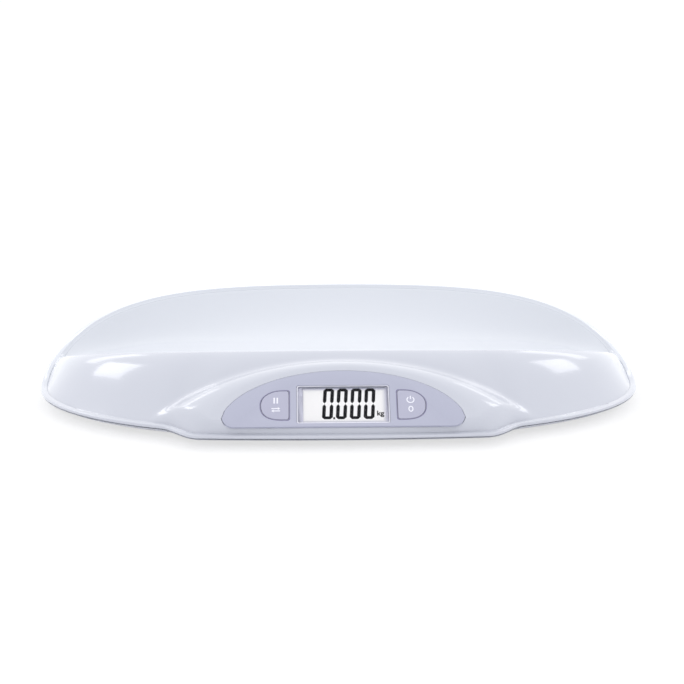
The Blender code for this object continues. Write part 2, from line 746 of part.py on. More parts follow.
def make_buttons(console, paint):
    for name, (place_x, place_y) in button_places().items():
        place = (place_x, place_y, 0)
        cap_back = BUTTON_PROUD - BUTTON_CAP
        flange_top = SEAT_BACK - GAP
        cap = prism(button_outline(math.copysign(1, place_x)), cap_back, BUTTON_PROUD)
        cap = make_object(name + "_button", cap, paint["panel"], console, place)
        stem = lathe([(0, flange_top - FLANGE_THICK), (STEM_FLANGE, flange_top - FLANGE_THICK),
                      (STEM_FLANGE, flange_top), (STEM_RADIUS, flange_top),
                      (STEM_RADIUS, cap_back + BUTTON_CAP / 2), (0, cap_back + BUTTON_CAP / 2)], ROUND_MEDIUM)
        combine(cap, make_tool(name + "_stem_solid", stem, console, place), "UNION")

        # The switch body has a well, so that its plunger can sink.
        half = SWITCH_SIZE / 2
        body_low = BOARD_TOP + GAP
        body_top = body_low + SWITCH_TALL
        body = block((-half, half), (-half, half), (body_low, body_top))
        body = make_object(name + "_switch", body, paint["black"], console, place)
        well_low = body_top - PLUNGER_SEAT - BUTTON_TRAVEL
        well = disc(PLUNGER_RADIUS + RUNNING_GAP, well_low, body_top + OVERRUN, (0, 0), ROUND_SMALL)
        combine(body, make_tool(name + "_switch_well", well, console, place), "DIFFERENCE")
        plunger_low = well_low + BUTTON_TRAVEL + GAP
        plunger_top = flange_top - FLANGE_THICK - GAP
        plunger = disc(PLUNGER_RADIUS, plunger_low, plunger_top, (0, 0), ROUND_SMALL)
        make_object(name + "_plunger", plunger, paint["plunger"], console, place, ROUND_ANGLE)


def bay_size():
    pitch = 2 * BATTERY_RADIUS + GAP
    inner_x = CELL_LENGTH / 2 + BAY_END_ROOM
    inner_y = (BATTERY_COUNT * pitch + GAP) / 2
    centre_y = OVAL_Y + BAY_CENTRE_SHARE * HALF_DEPTH
    roof = STANDOFF + DOOR_THICK + 3 * GAP + 2 * BATTERY_RADIUS
    return inner_x, inner_y, centre_y, roof, pitch


def make_bottom_cover(form, paint):
    cover = make_object("bottom_cover", loft(cover_rings(form)), paint["white"], smooth_angle=SHELL_ANGLE)
    inner_x, inner_y, bay_y, roof, _ = bay_size()
    hinge_y = bay_y - inner_y - DOOR_LEDGE
    hinge_z = STANDOFF + HINGE_RISE
    bury = COVER_FLOOR / 2

    added = [block((-inner_x - BAY_WALL, inner_x + BAY_WALL),
                   (hinge_y - HINGE_RADIUS - BAY_WALL / 2, bay_y + inner_y + DOOR_LEDGE + BAY_WALL / 4),
                   (STANDOFF + bury, roof + BAY_ROOF))]
    for x, y in mirrored_places():
        added.append(disc(BOSS_RADIUS, STANDOFF + bury, BOSS_TOP, (x, y), ROUND_MEDIUM))
    rib_x = CELL_WIDE / 2
    rib_y = CELL_DEEP / 2
    for x, y in foot_places().values():
        for side in (-1, 1):
            edge = x + side * (rib_x - RIB_WIDTH / 2)
            added.append(block((edge - RIB_WIDTH / 2, edge + RIB_WIDTH / 2), (y - rib_y, y + rib_y),
                               (STANDOFF + bury, FLOOR_TOP + RIB_HEIGHT)))
    combine(cover, make_tool("cover_solids", merge(added)), "UNION")

    cut = []
    low = STANDOFF - OVERRUN
    seat = STANDOFF + SCREW_HEAD_THICK + GAP
    screw_hole = [(0, low), (SCREW_HEAD + GAP, low), (SCREW_HEAD + GAP, seat), (SCREW_SHANK + GAP, seat),
                  (SCREW_SHANK + GAP, BOSS_TOP + OVERRUN), (0, BOSS_TOP + OVERRUN)]
    for place in mirrored_places():
        cut.append(lathe(screw_hole, ROUND_SMALL, place))
    for place in foot_places().values():
        cut.append(disc(CARRIER_RADIUS + RUNNING_GAP, low, FLOOR_TOP + OVERRUN, place, ROUND_FINE))
    cut.append(block((-inner_x, inner_x), (bay_y - inner_y, bay_y + inner_y), (low, roof)))
    combine(cover, make_tool("cover_cutters", merge(cut)), "DIFFERENCE")

    # Side view of the door's recess: a channel round the hinge and a shallow step for the plate.
    door_half = inner_x + DOOR_LEDGE
    clear = HINGE_RADIUS + RUNNING_GAP
    step = STANDOFF + DOOR_THICK + GAP
    far = bay_y + inner_y + DOOR_LEDGE + RUNNING_GAP
    recess = [(hinge_y - clear, low), (far, low), (far, step), (hinge_y + clear, step),
              (hinge_y + clear, hinge_z + clear), (hinge_y - clear, hinge_z + clear)]
    recess = swap_axes(prism(recess, -door_half - RUNNING_GAP, door_half + RUNNING_GAP), (2, 0, 1))
    combine(cover, make_tool("door_recess_cutter", recess), "DIFFERENCE")
    reach = door_half + TRUNNION_LENGTH + GAP
    socket = disc(TRUNNION_RADIUS + RUNNING_GAP / 2, -reach, reach, (hinge_y, hinge_z), ROUND_SMALL)
    combine(cover, make_tool("door_socket_cutter", swap_axes(socket, (2, 0, 1))), "DIFFERENCE")
    return cover


def make_battery_door(paint):
    inner_x, inner_y, bay_y, _, _ = bay_size()
    hinge_y = bay_y - inner_y - DOOR_LEDGE
    hinge_z = STANDOFF + HINGE_RISE
    door_half = inner_x + DOOR_LEDGE
    far = bay_y + inner_y + DOOR_LEDGE - hinge_y
    low = -HINGE_RISE
    # Side view of the door: the barrel round the axis, and the plate that leaves it.
    profile = [(0, low), (far, low), (far, low + DOOR_THICK), (HINGE_RADIUS, low + DOOR_THICK)]
    for i in range(ROUND_SMALL + 1):
        angle = math.radians(HINGE_SWEEP * i / ROUND_SMALL)
        point = (HINGE_RADIUS * math.cos(angle), HINGE_RADIUS * math.sin(angle))
        if math.dist(point, profile[-1]) > GAP:
            profile.append(point)
    solid = swap_axes(prism(profile, -door_half, door_half), (2, 0, 1))
    door = make_object("battery_door", solid, paint["white"], None, (0, hinge_y, hinge_z))
    reach = door_half + TRUNNION_LENGTH
    trunnion = swap_axes(disc(TRUNNION_RADIUS, -reach, reach, (0, 0), ROUND_SMALL), (2, 0, 1))
    combine(door, make_tool("door_trunnion_solid", trunnion, None, (0, hinge_y, hinge_z)), "UNION")

    # Finger ridges near the free edge
    ridges = []
    for i in range(RIDGE_COUNT):
        start = far - RIDGE_INSET - i * RIDGE_PITCH
        ridges.append(block((-RIDGE_HALF_LENGTH, RIDGE_HALF_LENGTH), (start, start + RIDGE_WIDE),
                            (low - RIDGE_RISE, low + RIDGE_RISE)))
    combine(door, make_tool("door_ridge_solids", merge(ridges), None, (0, hinge_y, hinge_z)), "UNION")
    return door


def make_batteries(paint):
    inner_x, inner_y, bay_y, roof, pitch = bay_size()
    middle_z = roof - GAP - BATTERY_RADIUS
    for number in range(BATTERY_COUNT):
        y = bay_y - inner_y + GAP + BATTERY_RADIUS + number * pitch
        turn = 1 if number % 2 == 0 else -1
        start = -(inner_x - CONTACT_THICK - GAP) + BAY_END_ROOM + CONTACT_BOW / 2
        end = start + CELL_LENGTH - BATTERY_NUB
        inner = BATTERY_RADIUS - BATTERY_BEVEL
        profile = [(0, start), (inner, start), (BATTERY_RADIUS, start + BATTERY_BEVEL),
                   (BATTERY_RADIUS, end - BATTERY_BEVEL), (inner, end), (BATTERY_NUB_RADIUS, end),
                   (BATTERY_NUB_RADIUS, end + BATTERY_NUB), (0, end + BATTERY_NUB)]
        verts, faces = swap_axes(lathe(profile, ROUND_MEDIUM), (2, 0, 1))
        verts = [(turn * vert[0], turn * vert[1], vert[2]) for vert in verts]
        place = (0, y, middle_z)
        make_object("battery_%d" % (number + 1), (verts, faces), paint["battery"], None, place, ROUND_ANGLE)


def contact_profile(bowed):
    # A thin strip seen from above, with a bow towards the battery where it springs.
    wide = CONTACT_WIDE / 2
    inner = [(0, -wide)]
    if bowed:
        for i in range(ROUND_SMALL - 1):
            share = -1 + 2 * i / (ROUND_SMALL - 2)
            inner.append((CONTACT_BOW * math.cos(math.pi * share / 2), share * CONTACT_BOW_SHARE * wide))
    inner.append((0, wide))
    outer = [(depth + CONTACT_THICK, across) for depth, across in inner]
    return inner + list(reversed(outer))


def make_contacts(paint):
    inner_x, inner_y, bay_y, roof, pitch = bay_size()
    middle_z = roof - GAP - BATTERY_RADIUS
    for end, name in ((-1, "left"), (1, "right")):
        for number in range(BATTERY_COUNT):
            positive = (number % 2 == 0) == (end > 0)
            back = inner_x - GAP - CONTACT_THICK
            profile = [(back - depth, across) for depth, across in contact_profile(not positive)]
            y = bay_y - inner_y + GAP + BATTERY_RADIUS + number * pitch
            verts, faces = prism(profile, -CONTACT_TALL / 2, CONTACT_TALL / 2)
            verts = [(end * vert[0], vert[1], vert[2]) for vert in verts]
            make_object("contact_%s_%d" % (name, number + 1), (verts, faces), paint["steel"], None,
                        (0, y, middle_z))


def make_feet(paint):
    carrier_low = PAD_THICK + GAP
    cell_low = FLOOR_TOP + RIB_HEIGHT + GAP
    for name, (x, y) in foot_places().items():
        pad = [(0, 0), (PAD_RADIUS - FOOT_BEVEL, 0), (PAD_RADIUS, FOOT_BEVEL), (PAD_RADIUS, PAD_THICK),
               (0, PAD_THICK)]
        pad = lathe(pad, ROUND_FINE)
        make_object("foot_pad_" + name, pad, paint["rubber"], None, (x, y, 0), ROUND_ANGLE)
        carrier = [(0, carrier_low), (CARRIER_RADIUS - FOOT_BEVEL, carrier_low),
                   (CARRIER_RADIUS, carrier_low + FOOT_BEVEL), (CARRIER_RADIUS, carrier_low + CARRIER_THICK),
                   (CARRIER_NECK, carrier_low + CARRIER_THICK), (CARRIER_NECK, cell_low - GAP),
                   (0, cell_low - GAP)]
        carrier = lathe(carrier, ROUND_FINE)
        make_object("foot_carrier_" + name, carrier, paint["white"], None, (x, y, 0), ROUND_ANGLE)

        half_w = CELL_WIDE / 2
        half_d = CELL_DEEP / 2
        cell_top = cell_low + CELL_THICK
        cell = prism(rounded_box((-half_w, half_w), (-half_d, half_d), CELL_SLOT, 3), cell_low, cell_top)
        cell = make_object("load_cell_" + name, cell, paint["steel"], None, (x, y, 0))
        # A C-shaped slot frees the tongue that the foot pushes.
        inner_w = half_w - CELL_RIM
        inner_d = half_d - CELL_RIM
        tongue_w = inner_w - CELL_SLOT
        tongue_d = inner_d - CELL_SLOT
        path = [(-inner_w, -inner_d), (inner_w, -inner_d), (inner_w, -tongue_d), (-tongue_w, -tongue_d),
                (-tongue_w, tongue_d), (inner_w, tongue_d), (inner_w, inner_d), (-inner_w, inner_d)]
        slot = prism(path, cell_low - OVERRUN, cell_top + OVERRUN)
        combine(cell, make_tool("cell_slot_" + name, slot, None, (x, y, 0)), "DIFFERENCE")


def make_cover_screws(paint):
    head_top = STANDOFF + SCREW_HEAD_THICK
    screw = screw_solid(SCREW_HEAD, SCREW_SHANK, STANDOFF + GAP, head_top, head_top + SCREW_LENGTH)
    for number, place in enumerate(mirrored_places(), 1):
        make_object("cover_screw_%d" % number, screw, paint["steel"], None, (*place, 0), ROUND_ANGLE)


def build():
    clear_scene()
    paint = {
        "shell": make_material("white gloss plastic", (0.78, 0.80, 0.88), 0.18),
        "white": make_material("white plastic", (0.74, 0.75, 0.80), 0.45),
        "panel": make_material("lavender plastic", (0.50, 0.51, 0.66), 0.4),
        "clear": make_material("clear plastic", (0.90, 0.91, 0.94), 0.05),
        "glass": make_material("display glass", (0.85, 0.85, 0.84), 0.1),
        "backlight": make_material("light guide", (0.9, 0.9, 0.9), 0.5),
        "rubber": make_material("grey rubber", (0.12, 0.12, 0.13), 0.8),
        "board": make_material("green board", (0.03, 0.22, 0.09), 0.4),
        "steel": make_material("plated steel", (0.62, 0.62, 0.63), 0.3, 1.0),
        "black": make_material("black resin", (0.02, 0.02, 0.02), 0.4),
        "plunger": make_material("white nylon", (0.8, 0.8, 0.8), 0.5),
        "battery": make_material("battery jacket", (0.10, 0.22, 0.42), 0.35),
    }
    form = BodyForm(BACK_STATIONS, FRONT_STATIONS)
    console = make_empty("console_frame", (0, CONSOLE_FOOT_Y, CONSOLE_FOOT_HEIGHT), (PANEL_SLOPE, 0, 0))
    bpy.context.view_layer.update()
    make_top_shell(form, console, paint["shell"])
    make_display(console, paint)
    make_board(console, paint)
    make_buttons(console, paint)
    make_bottom_cover(form, paint)
    make_battery_door(paint)
    make_batteries(paint)
    make_contacts(paint)
    make_feet(paint)
    make_cover_screws(paint)


build()
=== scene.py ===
import math

import bmesh
import bpy
import numpy as np
from mathutils import Matrix, Vector
from mathutils.bvhtree import BVHTree


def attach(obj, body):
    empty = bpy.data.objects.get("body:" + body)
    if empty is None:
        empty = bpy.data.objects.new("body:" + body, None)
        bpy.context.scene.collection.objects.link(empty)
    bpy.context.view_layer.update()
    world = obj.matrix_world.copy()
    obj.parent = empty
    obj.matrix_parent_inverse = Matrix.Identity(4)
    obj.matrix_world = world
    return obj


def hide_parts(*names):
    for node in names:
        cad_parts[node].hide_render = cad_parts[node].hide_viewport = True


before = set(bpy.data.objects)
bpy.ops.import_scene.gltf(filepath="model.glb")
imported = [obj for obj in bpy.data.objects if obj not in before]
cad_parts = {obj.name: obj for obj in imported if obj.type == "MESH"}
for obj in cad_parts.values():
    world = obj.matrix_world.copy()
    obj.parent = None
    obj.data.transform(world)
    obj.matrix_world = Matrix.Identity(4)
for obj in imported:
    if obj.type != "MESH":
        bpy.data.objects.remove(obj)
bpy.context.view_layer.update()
scene = bpy.context.scene
print("frame loaded,", len(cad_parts), "nodes")

# fits and fineness shared by every piece, in metres
fit = {"gap": 0.0003, "runningGap": 0.0004, "overrun": 0.004, "hair": 0.00006}

# the outline, lip, crest and tray, in metres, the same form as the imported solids
body = {
    "length": 0.54999, "depth": 0.310, "outlinePower": 2.2, "noseHalfWidth": 0.124, "noseShoulder": 0.032,
    "noseReach": 0.005, "noseSag": 0.004, "noseDrop": 0.0015, "lipHeight": 0.013, "rimHeight": 0.069,
    "lipWidth": 0.006, "lipThick": 0.004, "lipRound": 0.0012, "rimFillet": 0.003, "riseStartShare": -0.13,
    "riseEndShare": 1.0, "crestHeight": 0.063, "crestSetback": 0.083, "crestPower": 2.2,
    "joinShare": 0.26, "crestRound": 0.0004, "trayFloor": 0.030, "trayEndDrop": 0.005,
    "trayFlatShare": 0.62, "spineShare": 0.6, "frontWallRun": 0.046, "rearWallRun": 0.080,
    "endWallRun": 0.024, "wall": 0.0034, "apronEvenShare": 0.35, "wingSwell": 0.75, "swellFrom": 0.115,
    "swellFade": 0.045, "rearLightFrom": -0.05, "rearLightTo": 0.04, "grooveWide": 0.0007,
    "grooveDeep": 0.0004, "grooveFrom": 0.225, "grooveFade": 0.02, "grooveBack": 0.03,
}

# the console: an inclined plane with a domed edge
console = {
    "slope": math.radians(38), "footSetback": 0.0045, "footHeight": 0.0185, "halfWidth": 0.116,
    "run": 0.050, "blend": 0.006, "domeFall": 0.020, "domeCurve": 0.060, "wall": 0.009,
    "cornerFrom": 0.112, "cornerFade": 0.014, "cornerRound": 0.012, "frontRound": 0.0022,
    "roundPower": 0.8,
}

ovalY = body["noseReach"] / 2
halfLength = body["length"] / 2
halfDepth = body["depth"] / 2
frontY = ovalY - halfDepth - body["noseReach"]
footY = frontY + console["footSetback"]
consoleMatrix = (Matrix.Translation((0, footY, console["footHeight"]))
                 @ Matrix.Rotation(console["slope"], 4, "X"))


# a wire is one output socket of a material; arithmetic on it adds Math nodes
class Wire:
    def __init__(self, paint, socket):
        self.paint = paint
        self.socket = socket

    def math(self, operation, first, second):
        return self.paint.add("ShaderNodeMath", {"operation": operation}, {0: first, 1: second})

    def __add__(self, other):
        return self.math("ADD", self, other)

    __radd__ = __add__

    def __mul__(self, other):
        return self.math("MULTIPLY", self, other)

    __rmul__ = __mul__

    def __sub__(self, other):
        return self.math("SUBTRACT", self, other)

    def __rsub__(self, other):
        return self.math("SUBTRACT", other, self)

    def clamp(self):
        return self.paint.add("ShaderNodeClamp", {}, {0: self})


# a paint is one material: fixed values go on the shader's own sockets, wires are linked
class Paint:
    def __init__(self, name, colour, roughness, **fixed):
        self.material = bpy.data.materials.new(name)
        self.material.use_nodes = True
        self.tree = self.material.node_tree
        self.shader = self.tree.nodes["Principled BSDF"]
        self.shader.inputs["Base Color"].default_value = (*colour, 1)
        self.shader.inputs["Roughness"].default_value = roughness
        for socket, value in fixed.items():
            self.shader.inputs[socket.replace("_", " ")].default_value = value

    def add(self, kind, settings, values, output=0):
        node = self.tree.nodes.new(kind)
        for key, value in settings.items():
            if key == "stops":
                ramp = node.color_ramp
                while len(ramp.elements) < len(value):
                    ramp.elements.new(0.5)
                for element, (place, colour) in zip(ramp.elements, value):
                    element.position = place
                    element.color = colour
            else:
                setattr(node, key, value)
        for key, value in values.items():
            if isinstance(value, Wire):
                self.tree.links.new(value.socket, node.inputs[key])
            else:
                node.inputs[key].default_value = value
        return Wire(self, node.outputs[output])

    def place(self):
        return self.add("ShaderNodeTexCoord", {}, {}, "Object")

    def noise(self, scale, detail=2.0, roughness=0.5, stretch=(1, 1, 1)):
        place = self.add("ShaderNodeMapping", {}, {"Vector": self.place(), "Scale": stretch})
        return self.add("ShaderNodeTexNoise", {}, {"Vector": place, "Scale": scale, "Detail": detail,
                                                   "Roughness": roughness}, "Fac")

    def mix(self, factor, first, second):
        return self.add("ShaderNodeMix", {"data_type": "RGBA"}, {"Factor": factor, 6: first, 7: second}, 2)

    def bump(self, height, strength, distance):
        return self.add("ShaderNodeBump", {}, {"Height": height, "Strength": strength, "Distance": distance},
                        "Normal")

    def feed(self, socket, wire):
        self.tree.links.new(wire.socket, self.shader.inputs[socket])

    def edgeMask(self, low=0.51, high=0.56):
        worn = self.add("ShaderNodeNewGeometry", {}, {}, "Pointiness")
        return self.add("ShaderNodeMapRange", {"clamp": True},
                        {"Value": worn, "From Min": low, "From Max": high})


def tint(colour, amount):
    return tuple(min(1.0, part * amount) for part in colour) + (1,)


# moulded plastic: faint mottle in colour, uneven sheen, fine texture and rubbed edges; a rear colour, when
# given, is painted light that lightens it towards the back
def plasticPaint(name, colour, roughness, grain=700, grainDepth=0.00002, sheenSpread=0.08, mottle=0.02,
                 rearLitColour=None, **fixed):
    paint = Paint(name, colour, roughness, **fixed)
    cloud = paint.noise(9, 4, 0.6)
    fine = paint.noise(60, 3, 0.55)
    edge = paint.edgeMask()
    base = paint.mix(cloud, tint(colour, 1 - mottle), tint(colour, 1 + mottle))
    # painted light: the colour lightens towards the back, where the surface catches more light
    if rearLitColour:
        along = paint.add("ShaderNodeSeparateXYZ", {}, {"Vector": paint.place()}, "Y")
        rear = paint.add("ShaderNodeMapRange", {"interpolation_type": "SMOOTHSTEP"}, {
            "Value": along, "From Min": body["rearLightFrom"], "From Max": body["rearLightTo"]})
        base = paint.mix(rear, base, (*rearLitColour, 1))
    rubbed = paint.mix(edge * fine * 0.35, base, tint(colour, 1.06))
    paint.feed("Base Color", rubbed)
    sheen = (roughness + (fine - 0.5) * sheenSpread + edge * 0.05).clamp()
    paint.feed("Roughness", sheen)
    skin = paint.noise(grain, 2, 0.5)
    paint.feed("Normal", paint.bump(skin, 0.35, grainDepth))
    return paint.material


def rubberPaint(name, colour):
    paint = Paint(name, colour, 0.75)
    dust = paint.noise(140, 4, 0.7)
    paint.feed("Base Color", paint.mix(dust, tint(colour, 0.85), tint(colour, 1.35)))
    paint.feed("Roughness", (0.62 + dust * 0.3).clamp())
    paint.feed("Normal", paint.bump(paint.noise(900, 2, 0.6), 0.5, 0.00004))
    return paint.material


def metalPaint(name, colour, roughness, brush=(1, 40, 1)):
    paint = Paint(name, colour, roughness, Metallic=1.0)
    streak = paint.noise(90, 3, 0.6, brush)
    paint.feed("Base Color", paint.mix(streak, tint(colour, 0.9), tint(colour, 1.08)))
    paint.feed("Roughness", (roughness - 0.08 + streak * 0.18).clamp())
    paint.feed("Normal", paint.bump(streak, 0.25, 0.00002))
    return paint.material


def boardPaint():
    paint = Paint("greenBoard", (0.02, 0.18, 0.07), 0.35, Coat_Weight=0.4)
    tracks = paint.add("ShaderNodeTexBrick", {"offset": 0.5}, {
        "Vector": paint.place(), "Scale": 160.0, "Mortar Size": 0.06, "Color1": (0, 0, 0, 1),
        "Color2": (0, 0, 0, 1), "Mortar": (1, 1, 1, 1)}, "Fac")
    paint.feed("Base Color", paint.mix(tracks, (0.02, 0.15, 0.06, 1), (0.05, 0.32, 0.13, 1)))
    paint.feed("Roughness", (0.3 + paint.noise(50, 3, 0.6) * 0.2).clamp())
    paint.feed("Normal", paint.bump(tracks, 0.4, 0.00004))
    return paint.material


def clearPaint():
    paint = Paint("clearWindow", (0.04, 0.04, 0.05), 0.05, IOR=1.49)
    smear = paint.noise(35, 3, 0.6)
    paint.feed("Roughness", (0.03 + smear * 0.08).clamp())
    paint.feed("Alpha", (0.05 + paint.edgeMask() * 0.1).clamp())
    return paint.material


def inkPaint(name, colour, roughness=0.45, **fixed):
    paint = Paint(name, colour, roughness, **fixed)
    patch = paint.noise(400, 3, 0.6)
    paint.feed("Base Color", paint.mix(patch, tint(colour, 0.9), tint(colour, 1.1)))
    paint.feed("Roughness", (roughness - 0.05 + patch * 0.1).clamp())
    return paint.material


# a blue jacket with a copper band at its positive end
def batteryPaint(name, side):
    paint = Paint(name, (0.06, 0.16, 0.36), 0.3, Metallic=0.3)
    along = paint.add("ShaderNodeSeparateXYZ", {}, {"Vector": paint.place()}, "X")
    band = paint.add("ShaderNodeMath", {"operation": "GREATER_THAN"}, {0: along * side, 1: 0.010})
    cap = paint.add("ShaderNodeMath", {"operation": "GREATER_THAN"}, {
        0: along.math("ABSOLUTE", along, 0.0), 1: 0.0205})
    jacket = paint.mix(band, (0.05, 0.15, 0.36, 1), (0.55, 0.36, 0.10, 1))
    paint.feed("Base Color", paint.mix(cap, jacket, (0.6, 0.6, 0.62, 1)))
    paint.feed("Metallic", 0.3 + cap * 0.7)
    paint.feed("Roughness", (0.25 + paint.noise(80, 3, 0.6) * 0.2).clamp())
    return paint.material


finish = {
    "tray": plasticPaint("traySatin", (0.645, 0.667, 0.722), 0.34, grain=900, grainDepth=0.00003,
                         mottle=0.006, sheenSpread=0.06, Coat_Weight=1.0, Coat_Roughness=0.35),
    # the shell's back is painted lighter, as painted light, blending into the tray's colour
    "shell": plasticPaint("shellGloss", (0.53, 0.545, 0.61), 0.15, grain=260, grainDepth=0.00003,
                          mottle=0.008, sheenSpread=0.05, rearLitColour=(0.645, 0.667, 0.722),
                          Coat_Weight=0.5, Coat_Roughness=0.06),
    "cover": plasticPaint("coverSatin", (0.70, 0.71, 0.76), 0.42, grain=1400, grainDepth=0.00005),
    "panel": plasticPaint("panelLavender", (0.42, 0.43, 0.535), 0.33, grain=1100, grainDepth=0.00003),
    "button": plasticPaint("buttonLavender", (0.425, 0.425, 0.535), 0.30, grain=1100, grainDepth=0.00003),
    "clear": clearPaint(),
    "digit": inkPaint("digitInk", (0.004, 0.004, 0.005), 0.6, Specular_IOR_Level=0.1),
    "line": inkPaint("buttonDarkLine", (0.16, 0.14, 0.27)),
    # pale ink for the marks, also used as the painted highlight on the window's rim
    "icon": inkPaint("paleInkAndRimHighlight", (0.83, 0.83, 0.90)),
    # painted shade laid behind the window's inner edges
    "edgeShade": inkPaint("paintedEdgeShade", (0.62, 0.62, 0.74)),
    "rubber": rubberPaint("footRubber", (0.09, 0.09, 0.10)),
    "strip": rubberPaint("stripRubber", (0.30, 0.12, 0.20)),
    "steel": metalPaint("platedSteel", (0.62, 0.62, 0.63), 0.32),
    "spring": metalPaint("nickelStrip", (0.70, 0.68, 0.62), 0.25, (30, 1, 1)),
    "board": boardPaint(),
    "resin": plasticPaint("blackResin", (0.02, 0.02, 0.022), 0.4),
    "nylon": plasticPaint("whiteNylon", (0.75, 0.75, 0.72), 0.5),
    "light": plasticPaint("lightGuide", (0.86, 0.86, 0.86), 0.4),
    "battery": batteryPaint("cellJacket", 1),
    "batteryTurned": batteryPaint("cellJacketTurned", -1),
}
print("finishes made")


# solids as vertex and face lists
def prism(outline, low, high):
    count = len(outline)
    verts = [(x, y, low) for x, y in outline] + [(x, y, high) for x, y in outline]
    faces = [tuple(reversed(range(count))), tuple(range(count, 2 * count))]
    for i in range(count):
        j = (i + 1) % count
        faces.append((i, j, count + j, count + i))
    return verts, faces


def lathe(profile, segments, centre=(0, 0)):
    verts = []
    rings = []
    for radius, height in profile:
        if radius == 0:
            rings.append([len(verts)] * segments)
            verts.append((centre[0], centre[1], height))
            continue
        rings.append(list(range(len(verts), len(verts) + segments)))
        for i in range(segments):
            angle = 2 * math.pi * i / segments
            verts.append((centre[0] + radius * math.cos(angle), centre[1] + radius * math.sin(angle), height))
    faces = []
    for lower, upper in zip(rings, rings[1:]):
        for i in range(segments):
            j = (i + 1) % segments
            corners = []
            for index in (lower[i], lower[j], upper[j], upper[i]):
                if index not in corners:
                    corners.append(index)
            faces.append(tuple(corners))
    return verts, faces


def disc(radius, low, high, centre=(0, 0), segments=48):
    return lathe([(0, low), (radius, low), (radius, high), (0, high)], segments, centre)


def block(xs, ys, zs):
    return prism([(xs[0], ys[0]), (xs[1], ys[0]), (xs[1], ys[1]), (xs[0], ys[1])], *zs)


def merge(solids):
    verts = []
    faces = []
    for solidVerts, solidFaces in solids:
        start = len(verts)
        verts += list(solidVerts)
        faces += [tuple(start + i for i in face) for face in solidFaces]
    return verts, faces


def turned(solid, order):
    return [tuple(vert[i] for i in order) for vert in solid[0]], solid[1]


def makePiece(name, solid, material, matrix=None, smoothAngle=30):
    mesh = bpy.data.meshes.new(name)
    mesh.from_pydata([tuple(vert) for vert in solid[0]], [], [tuple(face) for face in solid[1]])
    work = bmesh.new()
    work.from_mesh(mesh)
    bmesh.ops.recalc_face_normals(work, faces=work.faces)
    work.to_mesh(mesh)
    work.free()
    if material is not None:
        mesh.materials.append(material)
    piece = bpy.data.objects.new(name, mesh)
    if matrix is not None:
        piece.matrix_world = matrix
    scene.collection.objects.link(piece)
    shade(piece, smoothAngle)
    return piece


def shade(piece, smoothAngle):
    piece.data.shade_smooth()
    piece.data.set_sharp_from_angle(angle=math.radians(smoothAngle))


# adds a modifier and keeps its result as the piece's own mesh
def applyModifier(piece, kind, **settings):
    step = piece.modifiers.new(kind.lower(), kind)
    for key, value in settings.items():
        setattr(step, key, value)
    bpy.context.view_layer.update()
    graph = bpy.context.evaluated_depsgraph_get()
    mesh = bpy.data.meshes.new_from_object(piece.evaluated_get(graph))
    piece.modifiers.clear()
    old = piece.data
    piece.data = mesh
    bpy.data.meshes.remove(old)


def carve(piece, solid, matrix=None, operation="DIFFERENCE", smoothAngle=30):
    tool = makePiece("tool", solid, None, matrix)
    applyModifier(piece, "TRIANGULATE")
    applyModifier(piece, "BOOLEAN", operation=operation, solver="EXACT", object=tool)
    bpy.data.objects.remove(tool)
    shade(piece, smoothAngle)


def roundEdges(piece, width, segments=3, smoothAngle=40):
    applyModifier(piece, "BEVEL", width=width, segments=segments, limit_method="ANGLE",
                  angle_limit=math.radians(35), harden_normals=False)
    shade(piece, smoothAngle)


def settle(piece, bodyName, nodes=()):
    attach(piece, bodyName)
    if nodes:
        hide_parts(*nodes)
    return piece


# outlines in a plane
def roundedBox(xs, ys, radius, steps=8):
    points = []
    corners = ((xs[1], ys[0], -90), (xs[1], ys[1], 0), (xs[0], ys[1], 90), (xs[0], ys[0], 180))
    for cornerX, cornerY, start in corners:
        middleX = cornerX - math.copysign(radius, cornerX - sum(xs) / 2)
        middleY = cornerY - math.copysign(radius, cornerY - sum(ys) / 2)
        for i in range(steps + 1):
            angle = math.radians(start + 90 * i / steps)
            points.append((middleX + radius * math.cos(angle), middleY + radius * math.sin(angle)))
    return points


# surface of the top shell on stations from the middle of the back round the right end to the front
def smooth(value):
    value = np.clip(value, 0, 1)
    return value * value * (3 - 2 * value)


def rimHeight(y):
    riseShare = body["riseEndShare"] - body["riseStartShare"]
    share = ((y - ovalY) / halfDepth - body["riseStartShare"]) / riseShare
    return body["lipHeight"] + (body["rimHeight"] - body["lipHeight"]) * smooth(share)


def resample(points, shares):
    steps = np.hypot(*np.diff(points[:, :2], axis=0).T)
    along = np.concatenate([[0], np.cumsum(steps)])
    along = along / along[-1]
    return np.column_stack([np.interp(shares, along, points[:, i]) for i in range(points.shape[1])])


def powerCurve(value, power):
    return np.sign(value) * np.abs(value) ** (2 / power)


def halfOutline(count=6001):
    angle = np.linspace(math.pi / 2, -math.pi / 2, count)
    x = halfLength * powerCurve(np.cos(angle), body["outlinePower"])
    y = ovalY + halfDepth * powerCurve(np.sin(angle), body["outlinePower"])
    weight = np.where(y < 0, 1 - smooth((np.abs(x) - body["noseHalfWidth"]) / body["noseShoulder"]), 0.0)
    noseY = frontY + body["noseSag"] * (x / body["noseHalfWidth"]) ** 2
    y = y + (noseY - y) * weight
    tangent = np.gradient(np.column_stack([x, y]), axis=0)
    tangent /= np.hypot(tangent[:, 0], tangent[:, 1])[:, None]
    lip = rimHeight(y) - body["noseDrop"] * weight
    return np.column_stack([x, y, tangent[:, 1], -tangent[:, 0], lip])


def addConsole(x, y, base):
    rise = console["footHeight"] + (y - footY) * math.tan(console["slope"])
    away = np.hypot(x / console["halfWidth"], (y - footY) / console["run"])
    over = np.maximum(away - 1, 0)
    dome = rise - console["domeFall"] * over - console["domeCurve"] * over ** 2
    near = np.maximum(console["blend"] - np.abs(dome - base), 0)
    height = np.maximum(dome, base) + near ** 2 / (4 * console["blend"])
    return height, 1 - smooth((away - 0.9) / 0.3)


